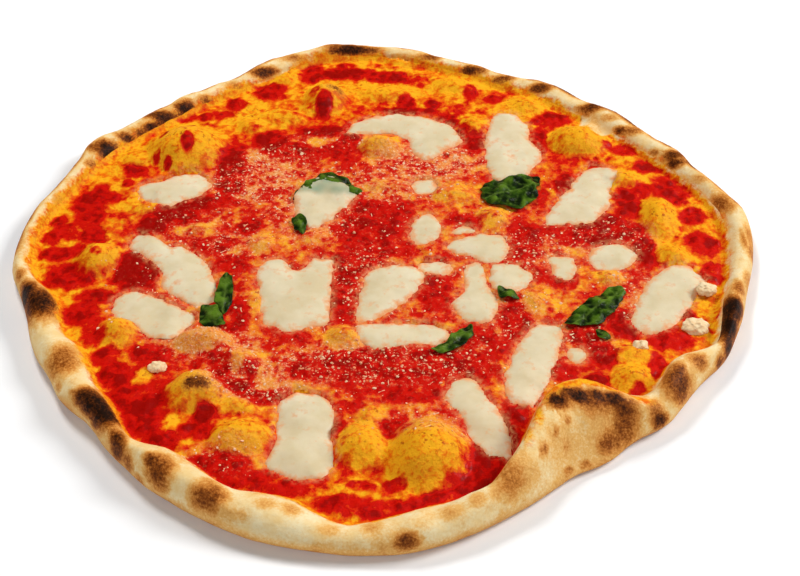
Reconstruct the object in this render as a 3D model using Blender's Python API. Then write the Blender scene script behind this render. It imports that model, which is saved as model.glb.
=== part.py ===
"""Thin crust pizza, uncut, lying flat.

A thin baked dough base with blisters in it and a raised, uneven rim that folds up into one tall bubble at
the front right. Tomato sauce lies in the hollows with crumbs of grated cheese on it. Melted mozzarella,
basil leaves and a few lumps of hard cheese lie on top.

Every size below is in millimetres. Plan places are (x, y) seen from above, and +Z is up from the flat
underside. The origin is on the underside, below the middle of the outline.
"""

import math
import random

import bmesh
import bpy
from mathutils import Euler, Vector, noise
from mathutils.bvhtree import BVHTree
from mathutils.geometry import delaunay_2d_cdt

MM = 0.001
GAP = 0.35
SEED = 7
PLAN_MIDDLE = (3.3, 4.0)

# Outline of the whole pizza, counter-clockwise from the right
OUTLINE = (
    (170, 0), (172.5, 20), (172, 30), (169.5, 39.5), (165, 49.5), (157.5, 59.5), (151, 71), (145.5, 82),
    (139.5, 88), (133.5, 95), (127, 105), (115, 116), (107, 122), (98.5, 131), (83, 142), (71, 146),
    (61, 150), (52.5, 156), (45, 157), (40, 162), (25, 168), (13, 172.5), (-3, 174.5), (-20, 174.5),
    (-36, 171.5), (-49, 165.5), (-61, 161), (-68, 154), (-75, 146), (-87, 139), (-100, 128),
    (-109, 120), (-118, 111), (-127.5, 101), (-138.5, 92), (-144.5, 85), (-149, 70), (-152.5, 59.5),
    (-156.5, 49), (-161, 39), (-164, 29), (-166, 13), (-166, -1), (-164, -11), (-159, -21), (-153, -36),
    (-149, -52), (-144, -63), (-137, -74), (-131, -87), (-118, -98), (-109, -112), (-100, -122),
    (-88, -135), (-74.5, -144), (-60.5, -153), (-45, -160), (-22, -165), (0, -166.5), (20, -164),
    (40.5, -155), (61, -141.5), (80, -126), (94, -119), (104, -109), (119, -100), (127, -89),
    (137, -75), (147.5, -63.5), (153, -52), (158.5, -38), (164, -20), (167.5, -9),
)

# Foot of the rim, where its inner slope meets the flat dough
RIM_FOOT = (
    (158, 0), (160, 20), (157, 40), (150, 52), (143, 62), (137, 70), (130, 80), (122, 90), (113, 100),
    (105, 109), (95, 117), (85, 124), (75, 131), (65, 137), (55, 143), (45, 148), (35, 153), (20, 160),
    (5, 165), (-10, 167), (-25, 166), (-38, 161), (-47, 154), (-58, 148), (-65, 141), (-75, 134),
    (-85, 126), (-95, 117), (-104, 108), (-115, 98), (-124, 89), (-132, 78), (-138, 68), (-143, 58),
    (-147, 48), (-152, 38), (-156, 25), (-157, 10), (-156, -3), (-150, -17), (-142, -24), (-136, -38),
    (-134, -50), (-125, -57), (-119, -70), (-115, -81), (-108, -91), (-102, -103), (-96, -113),
    (-84, -115), (-75, -120), (-66, -129), (-56, -137), (-33, -140), (-22, -148), (-11, -154), (5, -150),
    (18, -146), (34, -141), (45, -137), (52, -126), (58, -115), (62, -104), (67, -95), (75, -90),
    (86, -88), (98, -87), (110, -87), (117, -80), (120, -71), (126, -65), (134, -62), (142, -59),
    (147, -48), (148, -36), (152, -24), (156, -11),
)

# Crest of the rim at each angle in degrees: its height, and its place from the outer edge to the foot
RIM_CREST = (
    (0, 12, 0.42), (15, 11, 0.42), (30, 11, 0.42), (45, 11, 0.42), (60, 10, 0.42), (75, 10, 0.42),
    (90, 10.5, 0.42), (105, 11, 0.42), (120, 10, 0.42), (135, 11, 0.42), (150, 11, 0.42),
    (165, 10, 0.42), (180, 10, 0.42), (190, 12, 0.4), (202, 12, 0.4), (215, 13, 0.4), (230, 13.5, 0.4),
    (245, 14, 0.4), (258, 12.5, 0.42), (267, 10, 0.45), (275, 11, 0.45), (283, 13, 0.5),
    (289, 15.5, 0.72), (294, 18.5, 0.76), (298.5, 21, 0.78), (302.5, 23, 0.82), (306, 24, 0.85),
    (312, 24, 0.84), (314.6, 22, 0.73), (316, 19.5, 0.5), (318, 14, 0.4), (320, 12, 0.38),
    (322, 13.5, 0.5), (325, 17.5, 0.68), (330, 15, 0.58), (335, 12, 0.42), (345, 12.5, 0.42),
)
FOLD_LIP_MIDDLE = 307
FOLD_LIP_REACH = 12
FOLD_LIP_HEIGHT = 6.0
FOLD_LIP_WIDTH = 5.5
FOLD_LIP_START = 0.6

RIM_POINTS = 120
BELLY_SHARE = 0.42
BELLY_CREST_MOST = 13.0
CONTACT_SHARE = 0.55
CONTACT_INSET_MOST = 7.0
UNDERCUT_SHARE = 0.3
UNDERCUT_RISE = 0.35
OUTER_STEPS = 3
INNER_STEPS = 3

# Blisters of the rim: (x, y, radius, height)
RIM_BLISTERS = (
    (-148, -30, 13, 3.8), (-134, -62, 12, 3.2), (-116, -90, 15, 4.2), (-86, -125, 12, 3.8),
    (-67, -139, 12, 3.2), (-40, -150, 12, 1.8), (15, -156, 12, 1.8), (35, -148, 11, 2.4),
    (58, -131, 12, 2.2), (131, -68, 13, 2), (153, -38, 13, 3.5), (165, 33, 11, 2), (144, 76, 11, 2),
    (112, 110, 11, 1.5), (80, 136, 11, 1.5), (50, 152, 9, 1.5), (12, 168, 10, 1.5), (-26, 171, 10, 1.5),
    (-62, 154, 9, 2), (-98, 121, 10, 2), (-110, 109, 9, 1.5), (-138, 83, 12, 2.5), (-159, 35, 10, 1),
)

RIM_BLISTER_ROUNDNESS = 0.8
RIM_BLISTER_OUTWARD = 0.25
RIM_BLISTER_FULL_HEIGHT = 10.0

DOUGH_THICKNESS = 3.0
DOUGH_ROUGHNESS = 0.5
DOUGH_ROUGHNESS_SPAN = 22.0
DOUGH_LATTICE = 8.8
FOOT_SKIRT = 4.0
FOOT_RISE = 1.2
FOOT_RISE_SPAN = 9.0

# Blisters and swells of the dough inside the rim: (x, y, half length, half width, turn in degrees, height)
DOUGH_BLISTERS = (
    (-95, 84, 21, 17, 20, 11), (21, -118, 18, 20, 0, 13), (-5, -114, 11, 12, 0, 8.5),
    (-55, -109, 15, 11, 10, 8), (-74, -83, 13, 12, 0, 11.5), (-58, -91, 13, 7, -20, 6.5),
    (-112, -47, 10, 10, 0, 9), (-73, -53, 13, 10, 0, 9), (-58, -65, 15, 7, -38, 6.5),
    (-127, 0, 11, 11, 0, 9), (-14, -50, 8, 9, 0, 7), (107, -75, 10, 9, 0, 7.5), (98, 90, 16, 14, 0, 9.5),
    (131, 33, 10, 17, 0, 8.5), (118, 61, 13, 7, -35, 5), (134, 3, 9, 9, 0, 7), (0, 87, 12, 10, 0, 8),
    (-28, 126, 12, 16, 0, 9.5), (46, 103, 9, 10, 0, 6.5), (4, 132, 16, 8, 0, 5), (-50, 147, 10, 8, 30, 4.5),
    (-47, 113, 15, 9, 0, 5), (-66, 104, 10, 8, 0, 4.5), (53, 31, 9, 11, 0, 6), (35, 49, 11, 8, 0, 4.5),
    (4, 56, 12, 7, 0, 4), (70, -27, 10, 11, 0, 4), (104, -11, 9, 7, 0, 4.5), (-32, 17, 10, 8, 0, 4),
    (22, -36, 7, 6, 0, 3.5), (23, 10, 7, 6, 0, 3.5), (-53, -25, 6, 9, 0, 4), (-108, 37, 15, 7, 30, 5),
    (-54, 12, 10, 9, 0, 4.5), (109, -60, 13, 8, 0, 5), (38, 140, 18, 9, -25, 4.5), (75, 122, 11, 8, -30, 4.5),
    (-82, 24, 11, 6, 20, 4), (112, 104, 12, 7, -42, 4.5), (-120, 74, 12, 9, 50, 4.5), (-30, -78, 11, 5, 0, 4),
    (52, -70, 6, 9, 0, 4), (-2, -97, 8, 6, 0, 4.5), (60, 74, 7, 9, 0, 4), (12, 164, 9, 5, -8, 4),
)
BLISTER_ROUNDNESS = 0.9
# Rings of points round each blister: (share of its size, points, smallest half width that gets it)
BLISTER_RINGS = ((0.5, 6, 0.0), (0.85, 8, 8.0), (1.2, 10, 14.0))
POINTS_APART = 0.62 * DOUGH_LATTICE
POINTS_CLEAR_OF_FOOT = 0.9 * FOOT_SKIRT

SAUCE_LEVEL = 5.6
SAUCE_THICKNESS = 1.3
SAUCE_EDGE_THICKNESS = 0.8
SAUCE_CLEAR_OF_RIM = 3.0
FILL_PASSES = 3

GRATED_CRUMBS = 60
GRATED_TRIES = 2400
GRATED_RADIUS = (1.3, 2.0)
GRATED_HEIGHT = 1.1
GRATED_NARROWEST = 0.6
GRATED_LIFT = 0.25
GRATED_REACH = 112.0
GRATED_CLEAR = 3.5
GRATED_SPACING = 8.0
GRATED_MARGIN = 1.0
GRATED_MARGIN_POINTS = 6
GRATED_STEEPEST = 0.9

# The larger crumbs of grated cheese: (x, y, radius)
LARGE_CRUMBS = (
    (-4, 12, 2.6), (14, -67, 2.2), (-7, -71, 1.9), (38, -69, 1.6), (22, -66, 1.5), (-30, -66, 1.5),
    (68, 8, 2), (118, 12, 1.6), (-47, 52, 1.7), (11, -33, 1.6), (-14, -9, 1.8), (33, -64, 1.5),
    (-60, -9, 1.9), (104, 27, 1.6), (8, 60, 1.6), (-101, -88, 1.9), (-52, 70, 1.7), (-2, -83, 1.6),
)

CHEESE_THICKNESS = 2.2
CHEESE_WALL = 0.7
CHEESE_EDGE = 6.0
CHEESE_LATTICE = 5.5
INNER_POINTS_CLEAR = 0.55
LAID_STEPS = 5

# Melted mozzarella, each piece by its outline
MOZZARELLA = (
    ((-18, 100), (-12, 108), (0, 115), (12, 115), (27, 111), (35, 104), (40, 92), (33, 86), (27, 79),
     (21, 78), (16, 84), (13, 94), (4, 99), (-9, 98)),
    ((60, 117), (67, 116), (74, 104), (74, 94), (79, 82), (76, 72), (66, 61), (57, 60), (53, 68),
     (52, 88), (56, 108)),
    ((97, 66), (103, 73), (112, 70), (114, 63), (110, 53), (108, 40), (101, 30), (91, 27), (79, 27),
     (78, 33), (86, 46), (93, 58)),
    ((-116, 52), (-108, 61), (-93, 67), (-84, 63), (-81, 56), (-85, 50), (-95, 44), (-99, 39),
     (-109, 45)),
    ((-40, 44), (-36, 54), (-28, 61), (-20, 58), (-11, 50), (-16, 41), (-25, 29), (-32, 24), (-38, 29)),
    ((22, 36), (17, 30), (14, 20), (18, 12), (24, 14), (28, 23), (27, 31)),
    ((31, 11), (38, 17), (50, 19), (58, 17), (58, 4), (50, 0), (41, 4)),
    ((49, -10), (54, -1), (62, -2), (68, -9), (66, -18), (57, -20), (51, -17)),
    ((40, -1), (46, -1), (47, -8), (48, -16), (52, -24), (52, -32), (48, -40), (39, -39), (32, -28),
     (38, -21), (39, -10)),
    ((18, 1), (30, 1), (34, -3), (29, -9), (20, -6)),
    ((-4, -7), (7, -2), (15, -3), (21, -10), (16, -21), (5, -33), (-2, -38), (-9, -39), (-9, -29),
     (-6, -18)),
    ((-9, -43), (4, -41), (25, -41), (31, -46), (28, -53), (12, -54), (-2, -57), (-8, -51)),
    ((-53, -1), (-44, 2), (-38, -6), (-33, -4), (-28, 4), (-21, 2), (-21, -18), (-22, -40), (-29, -43),
     (-39, -46), (-49, -40), (-51, -24), (-54, -13)),
    ((-113, 20), (-103, 18), (-97, 11), (-88, 10), (-80, 0), (-73, -14), (-73, -27), (-79, -29),
     (-91, -22), (-97, -15), (-98, -6), (-107, 4), (-115, 13)),
    ((-117, -27), (-111, -20), (-99, -24), (-85, -31), (-80, -38), (-88, -51), (-96, -51),
     (-104, -43), (-115, -35)),
    ((-39, -85), (-33, -82), (-22, -84), (-18, -94), (-18, -110), (-16, -120), (-20, -129), (-31, -130),
     (-43, -123), (-40, -115), (-40, -98)),
    ((31, -78), (40, -75), (44, -83), (50, -95), (54, -108), (53, -118), (44, -117), (38, -107),
     (35, -95), (29, -87)),
    ((71, -41), (79, -43), (79, -53), (73, -70), (68, -84), (63, -91), (54, -86), (55, -70),
     (59, -58), (65, -47)),
    ((130, -5), (139, -3), (147, -10), (143, -18), (136, -32), (127, -43), (116, -48), (111, -40),
     (115, -26), (121, -13)),
    ((78, 3), (86, 4), (89, -5), (85, -12), (79, -9)),
    ((96, 6), (104, 12), (114, 11), (117, 2), (109, -5), (98, -4)),
    ((82, -57), (87, -56), (89, -62), (85, -66), (81, -63)),
    ((15, 57), (18, 62), (24, 62), (28, 57), (25, 51), (18, 51)),
    ((34, 22), (38, 26), (44, 24.5), (44, 21), (36, 20.5)),
)
THIN_PIECES = {21: 1.6, 22: 1.4, 10: 1.7, 20: 1.7, 23: 1.4, 24: 1.3}

LEAF_THICKNESS = 0.6
LEAF_LATTICE = 4.5
LEAF_WAVE = 1.8
LEAF_WAVE_SPAN = 6.0
LEAF_EDGE_WAVE = 0.4

# Basil leaves, each by its outline: the first is partly under the fifth piece of mozzarella
HIDDEN_BASIL = (
    ((-42, 43), (-39, 52), (-32, 61), (-24, 64), (-15, 60), (-8, 50), (-15, 50), (-24, 53), (-33, 50)),
    ((53, -19), (60, -21), (63, -26), (54, -26)),
)
BASIL = (
    ((48, 50), (51, 57), (59, 59), (68, 62), (77, 62), (76, 53), (74, 44), (65, 37), (57, 39), (49, 43)),
    ((-68, -8), (-64, -17), (-64, -28), (-67, -37), (-71, -30), (-72, -20)),
    ((-77, -30), (-72, -31), (-67, -38), (-65, -44), (-74, -44), (-78, -38)),
    ((80, -43), (86, -34), (94, -26), (103, -18), (110, -20), (105, -31), (98, -42), (88, -44)),
    ((93, -46), (97, -45), (101, -52), (95, -52)),
    ((22, -59), (28, -55), (33, -49), (40, -43), (41, -50), (35, -57), (27, -62)),
    ((-41, 31), (-36, 31), (-33, 27), (-35, 18), (-39, 21)),
)

# Lumps of hard cheese: (x, y, half length, half width, half height)
CHEESE_LUMPS = (
    (145, -21, 5, 4, 3), (137, -44, 6.5, 5, 3.2), (112, -57, 3.5, 3, 2), (-92, -69, 4, 3.5, 2.4),
)
LUMP_ROUGHNESS = 0.28
LUMP_ROUGHNESS_SCALE = 1.7
LUMP_FOOT = 0.35

TRIANGULATE_INSIDE = 1
MERGE_DISTANCE = 1e-4

COLOURS = {
    "crust": (0.78, 0.60, 0.35, 1.0),
    "tomato_sauce": (0.50, 0.015, 0.003, 1.0),
    "mozzarella": (0.76, 0.70, 0.50, 1.0),
    "basil": (0.03, 0.11, 0.012, 1.0),
    "hard_cheese": (0.82, 0.68, 0.45, 1.0),
}
ROUGHNESS = {"crust": 0.75, "tomato_sauce": 0.3, "mozzarella": 0.4, "basil": 0.45, "hard_cheese": 0.7}


def clear_scene():
    """Remove every object of the open scene."""
    for item in list(bpy.data.objects):
        bpy.data.objects.remove(item)


def make_material(name):
    """A Principled material in the food's own colour."""
    material = bpy.data.materials.new(name)
    material.use_nodes = True
    shader = material.node_tree.nodes["Principled BSDF"]
    shader.inputs["Base Color"].default_value = COLOURS[name]
    shader.inputs["Roughness"].default_value = ROUGHNESS[name]
    shader.inputs["Metallic"].default_value = 0.0
    return material


def make_object(name, mesh_data, material, smooth=True):
    """Turn a bmesh in millimetres into a named object in metres, about the origin."""
    bmesh.ops.translate(mesh_data, verts=mesh_data.verts, vec=(-PLAN_MIDDLE[0], -PLAN_MIDDLE[1], 0))
    bmesh.ops.scale(mesh_data, verts=mesh_data.verts, vec=(MM, MM, MM))
    bmesh.ops.recalc_face_normals(mesh_data, faces=mesh_data.faces)
    mesh = bpy.data.meshes.new(name)
    mesh_data.to_mesh(mesh)
    mesh_data.free()
    mesh.materials.append(material)
    if smooth:
        mesh.shade_smooth()
    item = bpy.data.objects.new(name, mesh)
    bpy.context.scene.collection.objects.link(item)
    return item


def periodic_curve(rows):
    """A smooth closed function of the angle in degrees, through rows of (angle, value)."""
    rows = sorted(rows)
    rows = [(rows[-1][0] - 360, rows[-1][1])] + rows + [(rows[0][0] + 360, rows[0][1])]
    rows = [(rows[-3][0] - 360, rows[-3][1])] + rows + [(rows[2][0] + 360, rows[2][1])]

    def value(angle):
        angle %= 360
        at = max(i for i in range(1, len(rows) - 2) if rows[i][0] <= angle)
        (a0, v0), (a1, v1), (a2, v2), (a3, v3) = rows[at - 1:at + 3]
        span = a2 - a1
        t = (angle - a1) / span
        slope_1 = (v2 - v0) / (a2 - a0) * span
        slope_2 = (v3 - v1) / (a3 - a1) * span
        return (
            v1 * (2 * t**3 - 3 * t**2 + 1) + slope_1 * (t**3 - 2 * t**2 + t)
            + v2 * (3 * t**2 - 2 * t**3) + slope_2 * (t**3 - t**2)
        )

    return value


def polar_rows(points):
    """Rows of (angle in degrees, radius) for plan points."""
    return [(math.degrees(math.atan2(y, x)) % 360, math.hypot(x, y)) for x, y in points]


outline_radius = periodic_curve(polar_rows(OUTLINE))
foot_radius = periodic_curve(polar_rows(RIM_FOOT))
crest_height = periodic_curve([(angle, height) for angle, height, place in RIM_CREST])
crest_place = periodic_curve([(angle, place) for angle, height, place in RIM_CREST])


def closed_spline(points, spacing):
    """Points about spacing apart along a smooth closed curve through the given ones."""
    count = len(points)
    out = []
    for i in range(count):
        p0, p1, p2, p3 = (Vector(points[(i + k) % count]) for k in (-1, 0, 1, 2))
        steps = max(1, round((p2 - p1).length / spacing))
        for k in range(steps):
            t = k / steps
            out.append(0.5 * (
                2 * p1 + (p2 - p0) * t + (2 * p0 - 5 * p1 + 4 * p2 - p3) * t**2
                + (3 * p1 - p0 - 3 * p2 + p3) * t**3
            ))
    return out


def inside(point, loop):
    """Whether a plan point lies inside a closed loop."""
    hit = False
    for i, a in enumerate(loop):
        b = loop[i - 1]
        if (a[1] > point[1]) != (b[1] > point[1]):
            if point[0] < (b[0] - a[0]) * (point[1] - a[1]) / (b[1] - a[1]) + a[0]:
                hit = not hit
    return hit


def edge_distance(point, loop):
    """Plan distance from a point to the nearest side of a closed loop."""
    nearest = math.inf
    for i, a in enumerate(loop):
        start, side = Vector(loop[i - 1]), Vector(a) - Vector(loop[i - 1])
        share = max(0.0, min(1.0, (point - start).dot(side) / max(side.length_squared, 1e-9)))
        nearest = min(nearest, (point - start - side * share).length)
    return nearest


def lattice(spacing, low, high):
    """Plan points of an even triangular lattice between two corners."""
    rows = math.ceil((high[1] - low[1]) / (spacing * math.sqrt(0.75)))
    columns = math.ceil((high[0] - low[0]) / spacing)
    for row in range(rows + 1):
        for column in range(columns + 1):
            shift = 0.5 * spacing * (row % 2)
            yield Vector((low[0] + column * spacing + shift, low[1] + row * spacing * math.sqrt(0.75)))


def fill_loop(loop, inner_points):
    """Triangles that fill a closed loop through the given inner points, and all their plan points."""
    points = list(loop) + list(inner_points)
    sides = [(i, (i + 1) % len(loop)) for i in range(len(loop))]
    found = delaunay_2d_cdt(points, sides, [], TRIANGULATE_INSIDE, MERGE_DISTANCE)
    return found[0], found[2]


def swell(x, y, blister):
    """Height that one blister adds at a plan point."""
    centre_x, centre_y, half_length, half_width, turn, height = blister
    along = math.cos(math.radians(turn)) * (x - centre_x) + math.sin(math.radians(turn)) * (y - centre_y)
    across = math.cos(math.radians(turn)) * (y - centre_y) - math.sin(math.radians(turn)) * (x - centre_x)
    distance = (along / half_length) ** 2 + (across / half_width) ** 2
    return height * (1 - distance) ** BLISTER_ROUNDNESS if distance < 1 else 0.0


def rim_swell(x, y):
    """Height that the rim's blisters add at a plan point."""
    return max(
        height * max(0.0, 1 - math.hypot(x - centre_x, y - centre_y) / radius) ** RIM_BLISTER_ROUNDNESS
        for centre_x, centre_y, radius, height in RIM_BLISTERS
    )


def dough_height(x, y):
    """Height of the dough's upper face inside the rim."""
    to_foot = foot_radius(math.degrees(math.atan2(y, x))) - math.hypot(x, y)
    rise = FOOT_RISE * max(0.0, 1 - to_foot / FOOT_RISE_SPAN) ** 2
    rough = DOUGH_ROUGHNESS * noise.noise(Vector((x, y, 0)) / DOUGH_ROUGHNESS_SPAN)
    return DOUGH_THICKNESS + rise + rough + max(swell(x, y, blister) for blister in DOUGH_BLISTERS)


def rim_section(angle):
    """(distance in from the outer edge, height) down the rim's section, from the underside to the foot."""
    width = outline_radius(angle) - foot_radius(angle)
    crest = crest_height(angle)
    inset = crest_place(angle) * width
    foot_x = foot_radius(angle) * math.cos(math.radians(angle))
    foot_y = foot_radius(angle) * math.sin(math.radians(angle))
    foot = dough_height(foot_x, foot_y)
    belly = BELLY_SHARE * min(crest, BELLY_CREST_MOST)
    undercut = CONTACT_SHARE * min(inset, CONTACT_INSET_MOST)
    section = [(undercut, 0.0), (undercut * UNDERCUT_SHARE, belly * UNDERCUT_RISE), (0.0, belly)]
    for step in range(1, OUTER_STEPS + 1):
        turn = 0.5 * math.pi * step / OUTER_STEPS
        section.append((inset * (1 - math.cos(turn)), belly + (crest - belly) * math.sin(turn)))
    for step in range(1, INNER_STEPS + 1):
        turn = 0.5 * math.pi * step / INNER_STEPS
        along = inset + (width - inset) * math.sin(turn)
        section.append((along, foot + (crest - foot) * math.cos(turn)))
    lip = max(0.0, 1 - ((angle - FOLD_LIP_MIDDLE) / FOLD_LIP_REACH) ** 2)
    lip_start = (0.0, FOLD_LIP_HEIGHT * FOLD_LIP_START)
    for ring, target in ((2, lip_start), (3, (FOLD_LIP_WIDTH, FOLD_LIP_HEIGHT))):
        section[ring] = tuple(old + (new - old) * lip for old, new in zip(section[ring], target))
    return section


def rim_rings():
    """The rim's section at every angle: rings of points from the underside up, over and down to the foot."""
    sections = []
    for i in range(RIM_POINTS):
        angle = 360 * i / RIM_POINTS
        outward = Vector((math.cos(math.radians(angle)), math.sin(math.radians(angle)), 0))
        edge = outward * outline_radius(angle)
        points = []
        for inward, height in rim_section(angle):
            point = edge - outward * inward + Vector((0, 0, height))
            if height > 0:
                lift = rim_swell(point.x, point.y)
                upward = lift * min(1.0, height / RIM_BLISTER_FULL_HEIGHT)
                point += outward * lift * RIM_BLISTER_OUTWARD + Vector((0, 0, upward))
            points.append(point)
        sections.append(points)
    return [[section[k] for section in sections] for k in range(len(sections[0]))]


def plan_points_of_dough(foot_loop):
    """Plan points inside the rim: along its foot, on and round each blister, and a lattice between them."""
    special = [point - point.normalized() * FOOT_SKIRT for point in foot_loop[::2]]
    for x, y, half_length, half_width, turn, height in DOUGH_BLISTERS:
        special.append(Vector((x, y)))
        for share, count, smallest in BLISTER_RINGS:
            for k in range(count if half_width >= smallest else 0):
                spin = 2 * math.pi * k / count
                reach = Vector((half_length * share * math.cos(spin), half_width * share * math.sin(spin)))
                special.append(Vector((x, y)) + reach @ rotation_rows(turn))
    kept = []
    reach = max(point.length for point in foot_loop)
    candidates = special + list(lattice(DOUGH_LATTICE, (-reach, -reach), (reach, reach)))
    for point in candidates:
        angle = math.degrees(math.atan2(point.y, point.x))
        if point.length > foot_radius(angle) - POINTS_CLEAR_OF_FOOT:
            continue
        if all((point - other).length > POINTS_APART for other in kept):
            kept.append(point)
    return kept


def rotation_rows(turn):
    """The plan turn, in degrees, as a matrix for row vectors."""
    return Euler((0, 0, -math.radians(turn))).to_matrix().to_2x2()


def build_crust(material):
    """The dough in one piece: flat underside, rim and blistered middle. Also returns its plan triangles."""
    crust = bmesh.new()
    rings = [[crust.verts.new(point) for point in ring] for ring in rim_rings()]
    for lower, upper in zip(rings, rings[1:]):
        for i in range(RIM_POINTS):
            after = (i + 1) % RIM_POINTS
            crust.faces.new((lower[i], lower[after], upper[after]))
            crust.faces.new((lower[i], upper[after], upper[i]))
    foot = rings[-1]
    foot_loop = [vert.co.to_2d() for vert in foot]
    points, triangles = fill_loop(foot_loop, plan_points_of_dough(foot_loop))
    middle = foot + [
        crust.verts.new((point.x, point.y, dough_height(point.x, point.y)))
        for point in points[RIM_POINTS:]
    ]
    for triangle in triangles:
        crust.faces.new([middle[i] for i in triangle])
    underside = crust.verts.new((0, 0, 0))
    for i in range(RIM_POINTS):
        crust.faces.new((rings[0][(i + 1) % RIM_POINTS], rings[0][i], underside))
    heights = [vert.co.z for vert in middle]
    return make_object("crust", crust, material), (points, heights, triangles)


def sauce_triangles(points, heights, triangles):
    """The plan triangles that sauce covers: those below its level and clear of the rim, in one sheet."""
    wet_points = set()
    for i, (point, height) in enumerate(zip(points, heights)):
        angle = math.degrees(math.atan2(point.y, point.x))
        if height < SAUCE_LEVEL and point.length < foot_radius(angle) - SAUCE_CLEAR_OF_RIM:
            wet_points.add(i)
    usable = [tuple(triangle) for triangle in triangles if min(triangle) >= RIM_POINTS]
    wet = [triangle for triangle in usable if wet_points.issuperset(triangle)]
    for _ in range(FILL_PASSES):
        pinched = pinched_points(wet)
        filled = set(wet) | {triangle for triangle in usable if pinched.intersection(triangle)}
        wet = [triangle for triangle in usable if triangle in filled]
    while pinched_points(wet):
        pinched = pinched_points(wet)
        wet = [triangle for triangle in wet if not pinched.intersection(triangle)]
    return largest_sheet(wet)


def sides_of(triangle):
    """The three sides of a triangle, each as a set of two points."""
    return [frozenset((triangle[k], triangle[(k + 1) % 3])) for k in range(3)]


def side_uses(triangles):
    """How many triangles share each side."""
    uses = {}
    for triangle in triangles:
        for side in sides_of(triangle):
            uses[side] = uses.get(side, 0) + 1
    return uses


def pinched_points(triangles):
    """Points where the sheet of triangles touches itself in a point only."""
    count = {}
    for side, uses in side_uses(triangles).items():
        if uses == 1:
            for point in side:
                count[point] = count.get(point, 0) + 1
    return {point for point, ends in count.items() if ends > 2}


def largest_sheet(triangles):
    """The largest set of triangles joined side to side."""
    by_side = {}
    for number, triangle in enumerate(triangles):
        for side in sides_of(triangle):
            by_side.setdefault(side, []).append(number)
    best, seen = [], set()
    for start in range(len(triangles)):
        if start in seen:
            continue
        sheet, waiting = [], [start]
        seen.add(start)
        while waiting:
            number = waiting.pop()
            sheet.append(triangles[number])
            for side in sides_of(triangles[number]):
                for other in by_side[side]:
                    if other not in seen:
                        seen.add(other)
                        waiting.append(other)
        best = max(best, sheet, key=len)
    return best


def closed_sheet(points, low, high, triangles):
    """A closed bmesh between two heights over the same plan triangles."""
    sheet = bmesh.new()
    used = sorted({i for triangle in triangles for i in triangle})
    below = {i: sheet.verts.new((points[i].x, points[i].y, low[i])) for i in used}
    above = {i: sheet.verts.new((points[i].x, points[i].y, high[i])) for i in used}
    sides = {(t[k], t[(k + 1) % 3]) for t in triangles for k in range(3)}
    for a, b, c in triangles:
        sheet.faces.new((above[a], above[b], above[c]))
        sheet.faces.new((below[c], below[b], below[a]))
    for a, b in sorted(sides):
        if (b, a) not in sides:
            sheet.faces.new((below[a], below[b], above[b]))
            sheet.faces.new((below[a], above[b], above[a]))
    return sheet


def build_sauce(dough, material):
    """The sheet of sauce in the dough's hollows."""
    points, heights, triangles = dough
    triangles = sauce_triangles(points, heights, triangles)
    sides = {(t[k], t[(k + 1) % 3]) for t in triangles for k in range(3)}
    border = {a for a, b in sides if (b, a) not in sides}
    low = [height + GAP for height in heights]
    high = []
    for i, height in enumerate(low):
        depth = SAUCE_EDGE_THICKNESS if i in border else max(SAUCE_THICKNESS, SAUCE_LEVEL - height)
        high.append(height + depth)
    return make_object("tomato_sauce", closed_sheet(points, low, high, triangles), material)


def grated_crumb(place, radius, draw):
    """One crumb of grated cheese, half sunk at a place on the sauce, in metres."""
    crumb = bmesh.new()
    bmesh.ops.create_icosphere(crumb, subdivisions=1, radius=1.0)
    stretch = draw.uniform(GRATED_NARROWEST, 1.0)
    spin = Euler((0, 0, draw.uniform(0, math.pi))).to_matrix()
    bmesh.ops.scale(crumb, verts=crumb.verts, vec=(radius, radius * stretch, GRATED_HEIGHT))
    bmesh.ops.rotate(crumb, verts=crumb.verts, matrix=spin)
    bmesh.ops.scale(crumb, verts=crumb.verts, vec=(MM, MM, MM))
    bmesh.ops.translate(crumb, verts=crumb.verts, vec=place + Vector((0, 0, GRATED_LIFT * MM)))
    mesh = bpy.data.meshes.new("grated_crumb")
    crumb.to_mesh(mesh)
    crumb.free()
    return bpy.data.objects.new("grated_crumb", mesh)


def wanted_crumbs(draw):
    """Places and sizes of crumbs to try: the large ones first, then others scattered over the sauce."""
    for x, y, radius in LARGE_CRUMBS:
        yield Vector((x, y)), radius
    for _ in range(GRATED_TRIES):
        reach, turn = GRATED_REACH * math.sqrt(draw.random()), draw.uniform(0, 2 * math.pi)
        yield Vector((reach * math.cos(turn), reach * math.sin(turn))), draw.uniform(*GRATED_RADIUS)


def crumb_foot(tree, spot, radius):
    """The sauce's point under a crumb, in metres, or None where the sauce ends or is steep there."""
    metres = (spot - Vector(PLAN_MIDDLE)) * MM
    steps = [Vector((0, 0))]
    for k in range(GRATED_MARGIN_POINTS):
        turn = 2 * math.pi * k / GRATED_MARGIN_POINTS
        steps.append(Vector((math.cos(turn), math.sin(turn))) * (radius + GRATED_MARGIN) * MM)
    hits = [tree.ray_cast((*(metres + step), 1.0), (0, 0, -1))[0] for step in steps]
    if any(hit is None for hit in hits):
        return None
    heights = [hit.z for hit in hits]
    return hits[0] if max(heights) - min(heights) < GRATED_STEEPEST * MM else None


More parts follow.
